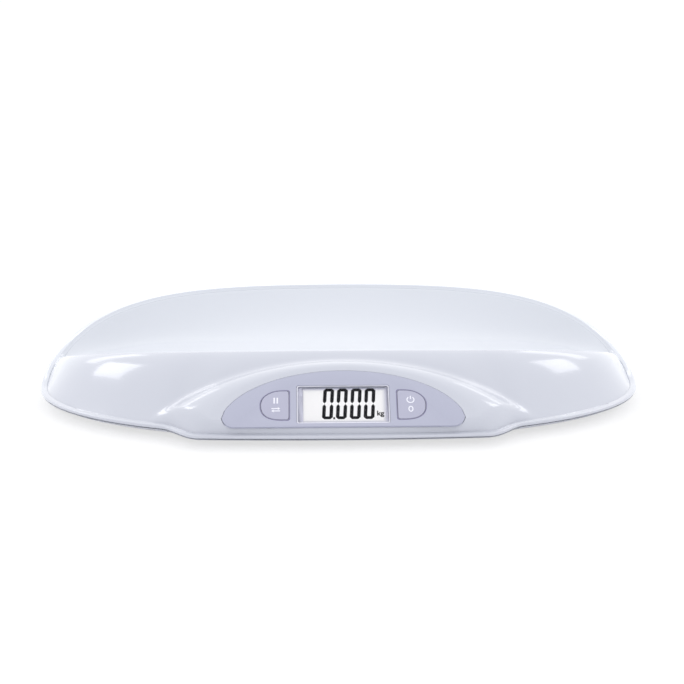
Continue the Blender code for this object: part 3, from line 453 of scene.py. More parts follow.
class BodyForm:
    def __init__(self, backStations, frontStations):
        curve = halfOutline()
        joinY = ovalY + body["joinShare"] * halfDepth
        split = int(np.argmin(np.abs(curve[:, 1] - joinY)))
        backShares = np.linspace(0, 1, backStations + 1)[:-1]
        frontShares = np.linspace(0, 1, frontStations + 1)
        stations = np.vstack([resample(curve[:split + 1], backShares), resample(curve[split:], frontShares)])
        stations[0, 0] = 0
        stations[-1, 0] = 0
        normals = stations[:, 2:4] / np.hypot(stations[:, 2], stations[:, 3])[:, None]
        normals[0] = (0, -1)
        normals[-1] = (0, 1)
        self.outline = stations[:, :2]
        self.normals = normals
        self.lip = stations[:, 4]
        opening = self.outline + normals * (body["lipWidth"] + body["rimFillet"])
        height = self.lip - body["rimFillet"] / 2
        join = len(backShares)
        crestY = ovalY - halfDepth + body["crestSetback"]
        joinX, joinY = opening[join]
        angle = np.linspace(0, math.pi / 2, 2001)
        crest = np.column_stack([joinX * powerCurve(np.cos(angle), body["crestPower"]),
                                 joinY - (joinY - crestY) * powerCurve(np.sin(angle), body["crestPower"])])
        opening[join:] = resample(crest, frontShares)
        opening[-1, 0] = 0
        fall = (joinY - opening[join:, 1]) / (joinY - crestY)
        height[join:] = height[join] + (body["crestHeight"] - height[join]) * fall
        self.opening = opening
        self.openingHeight = height
        spineY = (opening[0, 1] + opening[-1, 1]) / 2
        self.spine = np.column_stack([body["spineShare"] * opening[:, 0], np.full(len(opening), spineY)])

    def atLip(self, inset, rise):
        return np.column_stack([self.outline + self.normals * inset, self.lip + rise])

    def onApron(self, share, drop=0.0):
        start = self.atLip(body["lipWidth"], body["lipRound"])
        place = start[:, :2] + (self.opening - start[:, :2]) * share
        bend = (1 - body["apronEvenShare"]) * smooth(share) + body["apronEvenShare"] * share
        wing = smooth((np.abs(place[:, 0]) - body["swellFrom"]) / body["swellFade"]) * (drop == 0)
        bend = bend + wing * body["wingSwell"] * share * (1 - share) ** 2
        base = start[:, 2] + (self.openingHeight - start[:, 2]) * bend
        height, inside = addConsole(place[:, 0], place[:, 1], base)
        away = np.hypot(place[:, 0] - start[:, 0], place[:, 1] - start[:, 1])
        corner = smooth((np.abs(place[:, 0]) - console["cornerFrom"]) / console["cornerFade"])
        reach = console["frontRound"] + (console["cornerRound"] - console["frontRound"]) * corner
        rounded = np.sin(math.pi / 2 * np.clip(away / reach, 0, 1)) ** console["roundPower"]
        height = base + (height - base) * rounded
        wall = drop * (1 - inside) + (drop > 0) * console["wall"] * inside
        return np.column_stack([place, height - wall])

    def inTray(self, share, drop=0.0):
        toward = self.spine - self.opening
        reach = np.hypot(toward[:, 0], toward[:, 1])
        facing = toward / reach[:, None]
        run = (body["frontWallRun"] * np.maximum(facing[:, 1], 0) ** 2
               + body["rearWallRun"] * np.maximum(-facing[:, 1], 0) ** 2
               + body["endWallRun"] * facing[:, 0] ** 2)
        place = self.opening + toward * share
        left = np.clip(1 - share * reach / run, 0, 1)
        far = (np.abs(place[:, 0]) / halfLength - body["trayFlatShare"]) / (1 - body["trayFlatShare"])
        floor = body["trayFloor"] - body["trayEndDrop"] * smooth(far)
        height = floor + (self.openingHeight - floor) * left ** 2
        return np.column_stack([place, height - drop])

    def atFloor(self, inset, height):
        reach = cover["floorInset"] + cover["flareShare"] * (self.lip - body["lipHeight"]) + inset
        place = self.outline + self.normals * reach[:, None]
        return np.column_stack([place, np.full(len(place), height)])


def closeLoop(half):
    mirrored = half[-2:0:-1].copy()
    mirrored[:, 0] *= -1
    return np.vstack([half, mirrored])


def loft(halves):
    rings = [closeLoop(half) for half in halves]
    count = len(rings[0])
    verts = [tuple(point) for ring in rings for point in ring]
    faces = [tuple(range(count))]
    for k in range(len(rings) - 1):
        for i in range(count):
            j = (i + 1) % count
            faces.append((k * count + i, (k + 1) * count + i, (k + 1) * count + j, k * count + j))
    faces.append(tuple(reversed(range((len(rings) - 1) * count, len(rings) * count))))
    return verts, faces


# display panel and what lies under it, along the panel's normal
panel = {
    "halfWidth": 0.1055, "tall": 0.0588, "start": 0.0012, "corner": 0.011, "thick": 0.0020,
    "skin": 0.0028, "edgeRound": 0.0002, "seatChamfer": 0.0004,
}
window = {
    "wide": 0.0788, "tall": 0.0385, "start": 0.0049, "corner": 0.0015, "ledge": 0.0012,
    "lensThick": 0.0015, "glassMargin": 0.0026, "glassThick": 0.0028,
}
button = {
    "inner": 0.0464, "wide": 0.0236, "tall": 0.0292, "start": 0.0085, "corner": 0.0022, "proud": 0.0003,
    "cap": 0.0016, "stemRadius": 0.0030, "flangeRadius": 0.0045, "flangeThick": 0.0008,
    "edgeRound": 0.0005, "lineWide": 0.0005, "lineAway": 0.0002,
}
seat = -panel["thick"] - fit["gap"]
seatBack = seat - panel["skin"]
buttonX = button["inner"] + button["wide"] / 2
buttonY = button["start"] + button["tall"] / 2


def halfMoon(grow=0.0, steps=120):
    wide = panel["halfWidth"] + grow
    high = panel["tall"] + grow
    corner = panel["corner"]
    centreY = panel["start"] - grow + corner
    centreX = wide * math.sqrt(1 - (centreY / high) ** 2) - corner
    points = []
    for i in range(13):
        angle = math.radians(-90 + 80 * i / 12)
        points.append((centreX + corner * math.cos(angle), centreY + corner * math.sin(angle)))
    first = math.asin((centreY + corner / 2) / high)
    for i in range(steps + 1):
        angle = first + (math.pi - 2 * first) * i / steps
        points.append((wide * math.cos(angle), high * math.sin(angle)))
    for i in range(13):
        angle = math.radians(190 + 80 * i / 12)
        points.append((-centreX + corner * math.cos(angle), centreY + corner * math.sin(angle)))
    return points


def buttonOutline(side, grow=0.0, steps=48):
    halfTall = button["tall"] / 2 + grow
    flat = -button["wide"] / 2 - grow
    corner = button["corner"]
    reach = button["wide"] + 2 * grow - corner
    points = []
    for i in range(9):
        angle = math.radians(180 + 90 * i / 8)
        points.append((flat + corner + corner * math.cos(angle),
                       -halfTall + corner + corner * math.sin(angle)))
    for i in range(1, steps):
        angle = math.radians(-90 + 180 * i / steps)
        lean = 1 - 0.16 * max(math.sin(angle), 0) ** 2
        points.append((flat + corner + reach * math.cos(angle) ** 0.62 * lean,
                       halfTall * math.copysign(abs(math.sin(angle)) ** 0.85, math.sin(angle))))
    for i in range(9):
        angle = math.radians(90 + 90 * i / 8)
        points.append((flat + corner + corner * math.cos(angle),
                       halfTall - corner + corner * math.sin(angle)))
    if side < 0:
        points = [(-x, y) for x, y in reversed(points)]
    return points


def windowOutline(grow=0.0):
    half = window["wide"] / 2 + grow
    return roundedBox((-half, half), (window["start"] - grow, window["start"] + window["tall"] + grow),
                      window["corner"])


# inner edge of the painted shade ring behind the window
def edgeShadeOutline():
    half = window["wide"] / 2
    return roundedBox((-half + display["shadeLeft"], half - display["shadeRight"]),
                      (window["start"] + display["shadeBottom"],
                       window["start"] + window["tall"] - display["shadeTop"]),
                      window["corner"] / 2)


def moved(outline, x, y):
    return [(px + x, py + y) for px, py in outline]


# outlines stacked at several heights; outlineAt gives the outline grown by an amount
def stack(outlineAt, levels):
    rings = [[(x, y, height) for x, y in outlineAt(grow)] for grow, height in levels]
    count = len(rings[0])
    verts = [point for ring in rings for point in ring]
    faces = [tuple(reversed(range(count)))]
    for k in range(len(rings) - 1):
        for i in range(count):
            j = (i + 1) % count
            faces.append((k * count + i, k * count + j, (k + 1) * count + j, (k + 1) * count + i))
    faces.append(tuple(range((len(rings) - 1) * count, len(rings) * count)))
    return verts, faces


# heights and insets of a solid whose lower and upper edges are rounded
def softLevels(low, high, foot=0.0, top=0.0, steps=4):
    turns = [math.pi / 2 * i / steps for i in range(steps + 1)]
    levels = [(-foot * (1 - math.sin(turn)), low + foot * (1 - math.cos(turn)))
              for turn in turns] if foot else [(0, low)]
    levels += [(-top * (1 - math.cos(turn)), high - top * (1 - math.sin(turn)))
               for turn in turns] if top else [(0, high)]
    return levels


def softBox(xs, ys, zs, corner, foot=0.0, top=0.0, steps=4):
    def outlineAt(grow):
        return roundedBox((xs[0] - grow, xs[1] + grow), (ys[0] - grow, ys[1] + grow),
                          max(corner + grow, fit["hair"]), steps)
    return stack(outlineAt, softLevels(*zs, foot, top))


def circle(radius, centre=(0, 0), segments=48):
    turns = [2 * math.pi * i / segments for i in range(segments)]
    return [(centre[0] + radius * math.cos(turn), centre[1] + radius * math.sin(turn)) for turn in turns]


def softDisc(radius, low, high, foot=0.0, top=0.0, centre=(0, 0), segments=48):
    return stack(lambda grow: circle(radius + grow, centre, segments), softLevels(low, high, foot, top))


# the bottom cover: floor, flared walls, screw bosses, load cell ribs and the battery bay
cover = {
    "standoff": 0.005, "floor": 0.003, "edgeOuter": 0.0012, "edgeInner": 0.0044, "fillet": 0.003,
    "tuck": 0.0006, "floorInset": 0.012, "flareShare": 0.55, "belly": 0.48, "bossRadius": 0.0050,
    "bossTop": 0.010, "postRadius": 0.0040, "pilotExtra": 0.002, "ribWidth": 0.0025, "ribHeight": 0.0012,
    "holeChamfer": 0.0006,
}
screw = {
    "places": ((0.455, -0.68), (0.83, 0.065), (0.51, 0.50), (0.18, 0.61)), "shank": 0.0013,
    "head": 0.0030, "headThick": 0.0020, "length": 0.014, "pitch": 0.0011, "threadDeep": 0.00035,
    "recessLong": 0.0017, "recessWide": 0.0006, "recessDeep": 0.0009,
}
foot = {
    "frontPlace": (0.673, -0.48), "rearPlace": (0.618, 0.32), "padRadius": 0.0125, "padThick": 0.0024,
    "carrierRadius": 0.0135, "carrierThick": 0.0038, "neck": 0.0060, "edge": 0.0006,
    "grooves": (0.0035, 0.0065, 0.0095), "grooveWide": 0.0008, "grooveDeep": 0.0005, "cellWide": 0.036,
    "cellDeep": 0.030, "cellThick": 0.0020, "cellSlot": 0.0020, "cellRim": 0.0055, "gaugeWide": 0.0034,
    "gaugeLong": 0.0058, "gaugeThick": 0.0004, "gaugeCorner": 0.0008, "gaugeEdge": 0.0003,
    "cellEdge": 0.0002,
}
bay = {
    "count": 4, "cellLength": 0.0445, "radius": 0.0052, "nubRadius": 0.0019, "nub": 0.0009,
    "bevel": 0.00065, "centreShare": 0.22, "endRoom": 0.0034, "wall": 0.0055, "roof": 0.0018,
    "contactThick": 0.0005, "contactTall": 0.0085, "contactWide": 0.0085, "bow": 0.0016, "bowShare": 0.7,
    "seamDeep": 0.00012, "contactEdge": 0.00012, "dimpleRadius": 0.0016, "dimpleRise": 0.0004,
    "dimpleEdge": 0.0003,
}
door = {
    "thick": 0.0020, "ledge": 0.0030, "hingeRadius": 0.0020, "hingeRise": 0.0022, "sweep": 270,
    "trunnion": 0.0010, "trunnionLength": 0.0020, "ridges": 3, "ridgePitch": 0.0040, "ridgeInset": 0.0045,
    "ridgeWide": 0.0010, "ridgeRise": 0.0005, "ridgeHalf": 0.0085, "edge": 0.0003, "trunnionEdge": 0.0002,
}
board = {
    "thick": 0.0016, "halfWidth": 0.0770, "start": 0.0085, "tall": 0.0375, "screwInset": 0.0045,
    "bossRadius": 0.0029, "shank": 0.0010, "head": 0.0022, "headThick": 0.0011, "chipRadius": 0.0075,
    "chipThick": 0.0018, "stripWide": 0.0022, "stripTall": 0.0034, "lightThick": 0.0024,
    "switchSize": 0.0062, "switchTall": 0.0024, "plungerRadius": 0.0017, "plungerSeat": 0.0012,
    "travel": 0.0005, "partLong": 0.0020, "partWide": 0.0012, "partTall": 0.0007, "partEdge": 0.00015,
    "partFoot": 0.0001, "padEdge": 0.0002, "padFoot": 0.00015, "plateEdge": 0.00015,
    "stripCorner": 0.0003, "stripEdge": 0.0002, "lightCorner": 0.0008, "lightEdge": 0.0003,
    "switchCorner": 0.0004, "lidCorner": 0.0005, "lidInset": 0.0002, "edge": 0.0001, "lid": 0.0002,
    "legWide": 0.0007, "legThick": 0.0003, "legRise": 0.0008, "legReach": 0.0010, "plungerFoot": 0.0002,
    "plungerEdge": 0.0003,
    # where the small parts stand on the board
    "parts": ((-0.016, 0.020), (-0.016, 0.026), (-0.016, 0.032), (0.015, 0.019), (0.015, 0.025),
              (0.022, 0.030), (0.034, 0.022), (-0.034, 0.030), (-0.041, 0.022)),
}
floorTop = cover["standoff"] + cover["floor"]
cellLow = floorTop + cover["ribHeight"] + fit["gap"]
bayX = bay["cellLength"] / 2 + bay["endRoom"]
bayPitch = 2 * bay["radius"] + fit["gap"]
bayHalf = (bay["count"] * bayPitch + fit["gap"]) / 2
bayY = ovalY + bay["centreShare"] * halfDepth
bayRoof = cover["standoff"] + door["thick"] + 3 * fit["gap"] + 2 * bay["radius"]
bayAxis = bayRoof - fit["gap"] - bay["radius"]
hingeY = bayY - bayHalf - door["ledge"]
hingeZ = cover["standoff"] + door["hingeRise"]
glassBack = seatBack - fit["gap"] - window["glassThick"]
boardTop = glassBack - board["stripTall"] - 2 * fit["gap"]
boardBack = boardTop - board["thick"]
boardTip = seatBack - window["glassThick"] / 2 - fit["gap"]


def screwPlaces():
    return [(side * x * halfLength, ovalY + y * halfDepth) for x, y in screw["places"] for side in (-1, 1)]


def footPlaces():
    return {end + "_" + name: (side * foot[end + "Place"][0] * halfLength,
                               ovalY + foot[end + "Place"][1] * halfDepth)
            for end in ("front", "rear") for name, side in (("left", -1), ("right", 1))}


def cellPlaces():
    return [bayY - bayHalf + fit["gap"] + bay["radius"] + number * bayPitch for number in range(bay["count"])]


def boardScrewPlaces():
    near = board["start"] + board["screwInset"]
    far = board["start"] + board["tall"] - board["screwInset"]
    wide = board["halfWidth"] - board["screwInset"]
    beside = window["wide"] / 2 + window["glassMargin"] + board["bossRadius"] + 2 * fit["runningGap"]
    return ((-wide, near), (wide, near), (-beside, far), (beside, far))


# posts for the cover screws and bosses for the board screws, inside the shell
def addPosts(piece, rings):
    solid = loft(rings)
    tree = BVHTree.FromPolygons([Vector(vert) for vert in solid[0]], solid[1])
    posts = []
    pilots = []
    for x, y in screwPlaces():
        skin = tree.ray_cast(Vector((x, y, body["length"])), Vector((0, 0, -1)))[0].z
        top = skin - body["wall"] / 2
        posts.append(disc(cover["postRadius"], cover["bossTop"] + fit["gap"], top, (x, y), 32))
        pilotTop = cover["standoff"] + screw["headThick"] + screw["length"] + cover["pilotExtra"]
        pilots.append(disc(screw["shank"] + fit["gap"], cover["bossTop"] - fit["overrun"],
                           min(pilotTop, top - body["wall"] / 2), (x, y), 24))
    carve(piece, merge(posts), None, "UNION", 42)
    carve(piece, merge(pilots), None, smoothAngle=42)
    bosses = [disc(board["bossRadius"], boardTop + fit["gap"], seatBack + panel["skin"] / 2, place, 24)
              for place in boardScrewPlaces()]
    holes = [disc(board["shank"] + fit["gap"], boardTop - fit["overrun"], boardTip + fit["gap"], place, 16)
             for place in boardScrewPlaces()]
    carve(piece, merge(bosses), consoleMatrix, "UNION", 42)
    carve(piece, merge(holes), consoleMatrix, smoothAngle=42)


def coverRings(form):
    under = -body["lipThick"] / 2 - body["lipRound"] / 2 - fit["gap"]
    fillet = cover["fillet"]
    topOuter = form.atLip(cover["edgeOuter"], under)
    topInner = form.atLip(cover["edgeInner"], under)
    footOuter = form.atFloor(-fillet, cover["standoff"] + fillet)
    footOuter[:, 2] = np.minimum(footOuter[:, 2], topOuter[:, 2] - cover["tuck"])
    footInner = form.atFloor(cover["floor"], floorTop)

    def between(top, bottom, share):
        ring = top + (bottom - top) * share
        ring[:, 2] = top[:, 2] + (bottom[:, 2] - top[:, 2]) * (share + cover["belly"] * share * (1 - share))
        return ring

    rings = [form.atFloor(0, cover["standoff"])]
    for i in range(1, 6):
        turn = math.pi / 2 * i / 6
        ring = form.atFloor(-fillet * math.sin(turn), cover["standoff"] + fillet * (1 - math.cos(turn)))
        ring[:, 2] = np.minimum(ring[:, 2], footOuter[:, 2])
        rings.append(ring)
    shares = np.linspace(0, 1, 9)
    rings += [between(topOuter, footOuter, share) for share in reversed(shares)]
    rings += [between(topInner, footInner, share) for share in shares]
    return rings


def makeCover():
    piece = makePiece("bottomShell", loft(coverRings(BodyForm(60, 110))), finish["cover"], None, 38)
    bury = cover["standoff"] + cover["floor"] / 2
    added = [block((-bayX - bay["wall"], bayX + bay["wall"]),
                   (hingeY - door["hingeRadius"] - bay["wall"] / 2,
                    bayY + bayHalf + door["ledge"] + bay["wall"] / 4),
                   (bury, bayRoof + bay["roof"]))]
    added += [disc(cover["bossRadius"], bury, cover["bossTop"], place, 32) for place in screwPlaces()]
    for x, y in footPlaces().values():
        for side in (-1, 1):
            edge = x + side * (foot["cellWide"] - cover["ribWidth"]) / 2
            added.append(block((edge - cover["ribWidth"] / 2, edge + cover["ribWidth"] / 2),
                               (y - foot["cellDeep"] / 2, y + foot["cellDeep"] / 2),
                               (bury, floorTop + cover["ribHeight"])))
    carve(piece, merge(added), None, "UNION", 38)
    low = cover["standoff"] - fit["overrun"]
    chamfer = cover["holeChamfer"]
    cut = []
    for radius, places, top in ((screw["head"] + fit["gap"], screwPlaces(),
                                 cover["standoff"] + screw["headThick"] + fit["gap"]),
                                (foot["carrierRadius"] + fit["runningGap"], footPlaces().values(),
                                 floorTop + fit["overrun"])):
        for place in places:
            cut.append(lathe([(0, low), (radius + chamfer, low), (radius + chamfer, cover["standoff"]),
                              (radius, cover["standoff"] + chamfer), (radius, top), (0, top)], 64, place))
    cut.append(softBox((-bayX, bayX), (bayY - bayHalf, bayY + bayHalf), (low, bayRoof), 0.001, top=0.0006))
    carve(piece, merge(cut), None, smoothAngle=38)
    shafts = [disc(screw["shank"] + fit["gap"], cover["standoff"] + fit["gap"],
                   cover["bossTop"] + fit["overrun"], place, 24)
              for place in screwPlaces()]
    carve(piece, merge(shafts), None, smoothAngle=38)
    # side view of the door's recess: a channel round the hinge and a shallow step for the plate
    doorHalf = bayX + door["ledge"]
    clear = door["hingeRadius"] + fit["runningGap"]
    step = cover["standoff"] + door["thick"] + fit["gap"]
    far = bayY + bayHalf + door["ledge"] + fit["runningGap"]
    recess = [(hingeY - clear, low), (far, low), (far, step), (hingeY + clear, step),
              (hingeY + clear, hingeZ + clear), (hingeY - clear, hingeZ + clear)]
    across = doorHalf + fit["runningGap"]
    carve(piece, turned(prism(recess, -across, across), (2, 0, 1)), None, smoothAngle=38)
    reach = doorHalf + door["trunnionLength"] + fit["gap"]
    socket = disc(door["trunnion"] + fit["runningGap"] / 2, -reach, reach, (hingeY, hingeZ), 24)
    carve(piece, turned(socket, (2, 0, 1)), None, smoothAngle=38)
    settle(piece, "scale_body", ["bottom_cover"])


def makeDoor():
    matrix = Matrix.Translation((0, hingeY, hingeZ))
    far = bayY + bayHalf + door["ledge"] - hingeY
    low = -door["hingeRise"]
    radius = door["hingeRadius"]
    profile = [(0, low), (far, low), (far, low + door["thick"]), (radius, low + door["thick"])]
    for i in range(25):
        turn = math.radians(door["sweep"] * i / 24)
        point = (radius * math.cos(turn), radius * math.sin(turn))
        if math.dist(point, profile[-1]) > fit["hair"]:
            profile.append(point)
    half = bayX + door["ledge"]
    piece = makePiece("bayDoor", turned(prism(profile, -half, half), (2, 0, 1)), finish["cover"], matrix, 35)
    roundEdges(piece, door["edge"], 3, 35)
    reach = half + door["trunnionLength"]
    pin = softDisc(door["trunnion"], -reach, reach, door["trunnionEdge"], door["trunnionEdge"], segments=32)
    carve(piece, turned(pin, (2, 0, 1)), matrix, "UNION", 35)
    ridges = []
    for i in range(door["ridges"]):
        start = far - door["ridgeInset"] - i * door["ridgePitch"]
        ridges.append(softBox((-door["ridgeHalf"], door["ridgeHalf"]), (start, start + door["ridgeWide"]),
                              (low - door["ridgeRise"], low + door["ridgeRise"]), door["ridgeWide"] * 0.45,
                              foot=door["ridgeWide"] * 0.35))
    carve(piece, merge(ridges), matrix, "UNION", 35)
    settle(piece, "door", ["battery_door"])


def makeFeet():
    carrierLow = foot["padThick"] + fit["gap"]
    carrierTop = carrierLow + foot["carrierThick"]
    radius = foot["padRadius"]
    edge = foot["edge"]
    pad = [(0, 0)]
    for groove in foot["grooves"]:
        wide = foot["grooveWide"] / 2
        deep = foot["grooveDeep"]
        pad += [(groove - wide, 0), (groove - wide * 0.6, deep * 0.8), (groove, deep),
                (groove + wide * 0.6, deep * 0.8),
                (groove + wide, 0)]
    pad += [(radius - edge, 0), (radius - edge * 0.5, edge * 0.13), (radius - edge * 0.13, edge * 0.5),
            (radius, edge),
            (radius, foot["padThick"] - edge / 2), (radius - edge / 2, foot["padThick"]),
            (0, foot["padThick"])]
    radius = foot["carrierRadius"]
    carrier = [(0, carrierLow), (radius - edge, carrierLow), (radius - edge * 0.3, carrierLow + edge * 0.3),
               (radius, carrierLow + edge), (radius, carrierTop - edge / 2), (radius - edge / 2, carrierTop),
               (foot["neck"] + edge, carrierTop), (foot["neck"] + edge * 0.3, carrierTop + edge * 0.3),
               (foot["neck"], carrierTop + edge), (foot["neck"], cellLow - fit["gap"] - edge / 3),
               (foot["neck"] - edge / 3, cellLow - fit["gap"]), (0, cellLow - fit["gap"])]
    halfWide = foot["cellWide"] / 2
    halfDeep = foot["cellDeep"] / 2
    cellTop = cellLow + foot["cellThick"]
    for name, place in footPlaces().items():
        matrix = Matrix.Translation((*place, 0))
        piece = makePiece("pad_" + name, lathe(pad, 72), finish["rubber"], matrix, 30)
        settle(piece, "scale_body", ["foot_pad_" + name])
        piece = makePiece("carrier_" + name, lathe(carrier, 72), finish["cover"], matrix, 30)
        settle(piece, "scale_body", ["foot_carrier_" + name])
        # a bending plate, with a slot that frees its tongue and two gauges glued beside the tongue's root
        plate = prism(roundedBox((-halfWide, halfWide), (-halfDeep, halfDeep), foot["cellSlot"]), cellLow,
                      cellTop)
        piece = makePiece("cell_" + name, plate, finish["steel"], matrix)
        outerX = halfWide - foot["cellRim"]
        outerY = halfDeep - foot["cellRim"]
        innerX = outerX - foot["cellSlot"]
        innerY = outerY - foot["cellSlot"]
        path = [(-outerX, -outerY), (outerX, -outerY), (outerX, -innerY), (-innerX, -innerY),
                (-innerX, innerY),
                (outerX, innerY), (outerX, outerY), (-outerX, outerY)]
        carve(piece, prism(path, cellLow - fit["overrun"], cellTop + fit["overrun"]), matrix)
        roundEdges(piece, foot["cellEdge"], 2)
        settle(piece, "scale_body", ["load_cell_" + name])
        gauges = []
        for side in (-1, 1):
            middle = side * (innerY - foot["gaugeWide"])
            gauges.append(softBox((innerX - foot["gaugeLong"], innerX),
                                  (middle - foot["gaugeWide"] / 2, middle + foot["gaugeWide"] / 2),
                                  (cellTop, cellTop + foot["gaugeThick"]), foot["gaugeCorner"],
                                  top=foot["gaugeEdge"]))
        settle(makePiece("gauges_" + name, merge(gauges), finish["nylon"], matrix), "scale_body")


# a screw seen from the side: domed head below, threaded shank above
def screwSolid(head, shank, low, headTop, tip):
    crown = headTop - low
    profile = [(0, low)]
    for i in range(1, 7):
        turn = math.pi / 2 * i / 6
        profile.append((head * math.sin(turn), low + crown * 0.45 * (1 - math.cos(turn))))
    profile += [(head, headTop - crown * 0.1), (head - crown * 0.1, headTop), (shank, headTop)]
    height = headTop + screw["pitch"]
    while height < tip - 3 * shank:
        profile += [(shank - screw["threadDeep"], height), (shank, height + screw["pitch"] * 0.35),
                    (shank - screw["threadDeep"], height + screw["pitch"] * 0.7)]
        height += screw["pitch"]
    profile += [(shank - screw["threadDeep"], tip - 2 * shank), (0, tip)]
    return lathe(profile, 32)


def crossRecess(low):
    long = screw["recessLong"]
    wide = screw["recessWide"] / 2
    zs = (low - fit["overrun"] / 2, low + screw["recessDeep"])
    return block((-long, long), (-wide, wide), zs), block((-wide, wide), (-long, long), zs)


def makeScrews():
    low = cover["standoff"] + fit["gap"]
    headTop = cover["standoff"] + screw["headThick"]
    for number, place in enumerate(screwPlaces(), 1):
        matrix = Matrix.Translation((*place, 0))
        piece = makePiece("coverScrew%d" % number, screwSolid(screw["head"], screw["shank"], low, headTop,
                                                              headTop + screw["length"]), finish["steel"],
                                                              matrix, 35)
        for arm in crossRecess(low):
            carve(piece, arm, matrix, smoothAngle=35)
        settle(piece, "scale_body", ["cover_screw_%d" % number])
    headTop = boardBack - fit["gap"]
    low = headTop - board["headThick"]
    for number, place in enumerate(boardScrewPlaces(), 1):
        matrix = consoleMatrix @ Matrix.Translation((*place, 0))
        piece = makePiece("boardScrew%d" % number,
                          screwSolid(board["head"], board["shank"], low, headTop, boardTip),
                          finish["steel"], matrix, 35)
        for arm in crossRecess(low - screw["recessDeep"] / 3):
            carve(piece, arm, matrix, smoothAngle=35)
        settle(piece, "scale_body", ["board_screw_%d" % number])


def contactProfile(bowed):
    wide = bay["contactWide"] / 2
    inner = [(0, -wide)]
    if bowed:
        for i in range(25):
            share = -1 + i / 12
            inner.append((bay["bow"] * math.cos(math.pi * share / 2), share * bay["bowShare"] * wide))
    inner.append((0, wide))
    outer = [(depth + bay["contactThick"], across) for depth, across in inner]
    return inner + list(reversed(outer))


def makeCells():
    for number, y in enumerate(cellPlaces()):
        turn = 1 if number % 2 == 0 else -1
        start = -(bayX - bay["contactThick"] - fit["gap"]) + bay["endRoom"] + bay["bow"] / 2
        end = start + bay["cellLength"] - bay["nub"]
        radius = bay["radius"]
        bevel = bay["bevel"]
        nub = bay["nubRadius"]
        seam = bay["seamDeep"]
        profile = [(0, start), (radius - 2 * bevel, start), (radius - 1.9 * bevel, start + seam),
                   (radius - bevel, start + seam),
                   (radius - bevel, start), (radius - bevel * 0.3, start + bevel * 0.3),
                   (radius, start + bevel),
                   (radius, start + 2 * bevel), (radius - seam, start + 2.1 * bevel),
                   (radius - seam, end - 2.1 * bevel),
                   (radius, end - 2 * bevel), (radius, end - bevel),
                   (radius - bevel * 0.3, end - bevel * 0.3),
                   (radius - bevel, end), (nub + bevel, end), (nub + bevel * 0.2, end + bevel * 0.2),
                   (nub, end + bay["nub"] * 0.5), (nub - bevel * 0.3, end + bay["nub"] * 0.9),
                   (nub - bevel, end + bay["nub"]), (0, end + bay["nub"])]
        verts, faces = turned(lathe(profile, 48), (2, 0, 1))
        verts = [(turn * vert[0], turn * vert[1], vert[2]) for vert in verts]
        piece = makePiece("batteryCell%d" % (number + 1), (verts, faces),
                          finish["battery" if turn > 0 else "batteryTurned"],
                          Matrix.Translation((0, y, bayAxis)), 35)
        settle(piece, "scale_body", ["battery_%d" % (number + 1)])
        for side, end in (("left", -1), ("right", 1)):
            positive = (number % 2 == 0) == (end > 0)
            back = bayX - fit["gap"] - bay["contactThick"]
            solid = prism([(back - depth, across) for depth, across in contactProfile(not positive)],
                          -bay["contactTall"] / 2, bay["contactTall"] / 2)
            solid = [(end * vert[0], vert[1], vert[2]) for vert in solid[0]], solid[1]
            matrix = Matrix.Translation((0, y, bayAxis))
            piece = makePiece("contact_%s_%d" % (side, number + 1), solid, finish["spring"], matrix, 35)
            roundEdges(piece, bay["contactEdge"], 2, 35)
            if positive:
                dimple = turned(softDisc(bay["dimpleRadius"], 0, bay["dimpleRise"], top=bay["dimpleEdge"],
                                         segments=32),
                                (2, 0, 1))
                dimple = [(end * (back - vert[0]), vert[1], vert[2]) for vert in dimple[0]], dimple[1]
                settle(makePiece("dimple_%s_%d" % (side, number + 1), dimple, finish["spring"], matrix, 35),
                       "scale_body")
            settle(piece, "scale_body", ["contact_%s_%d" % (side, number + 1)])


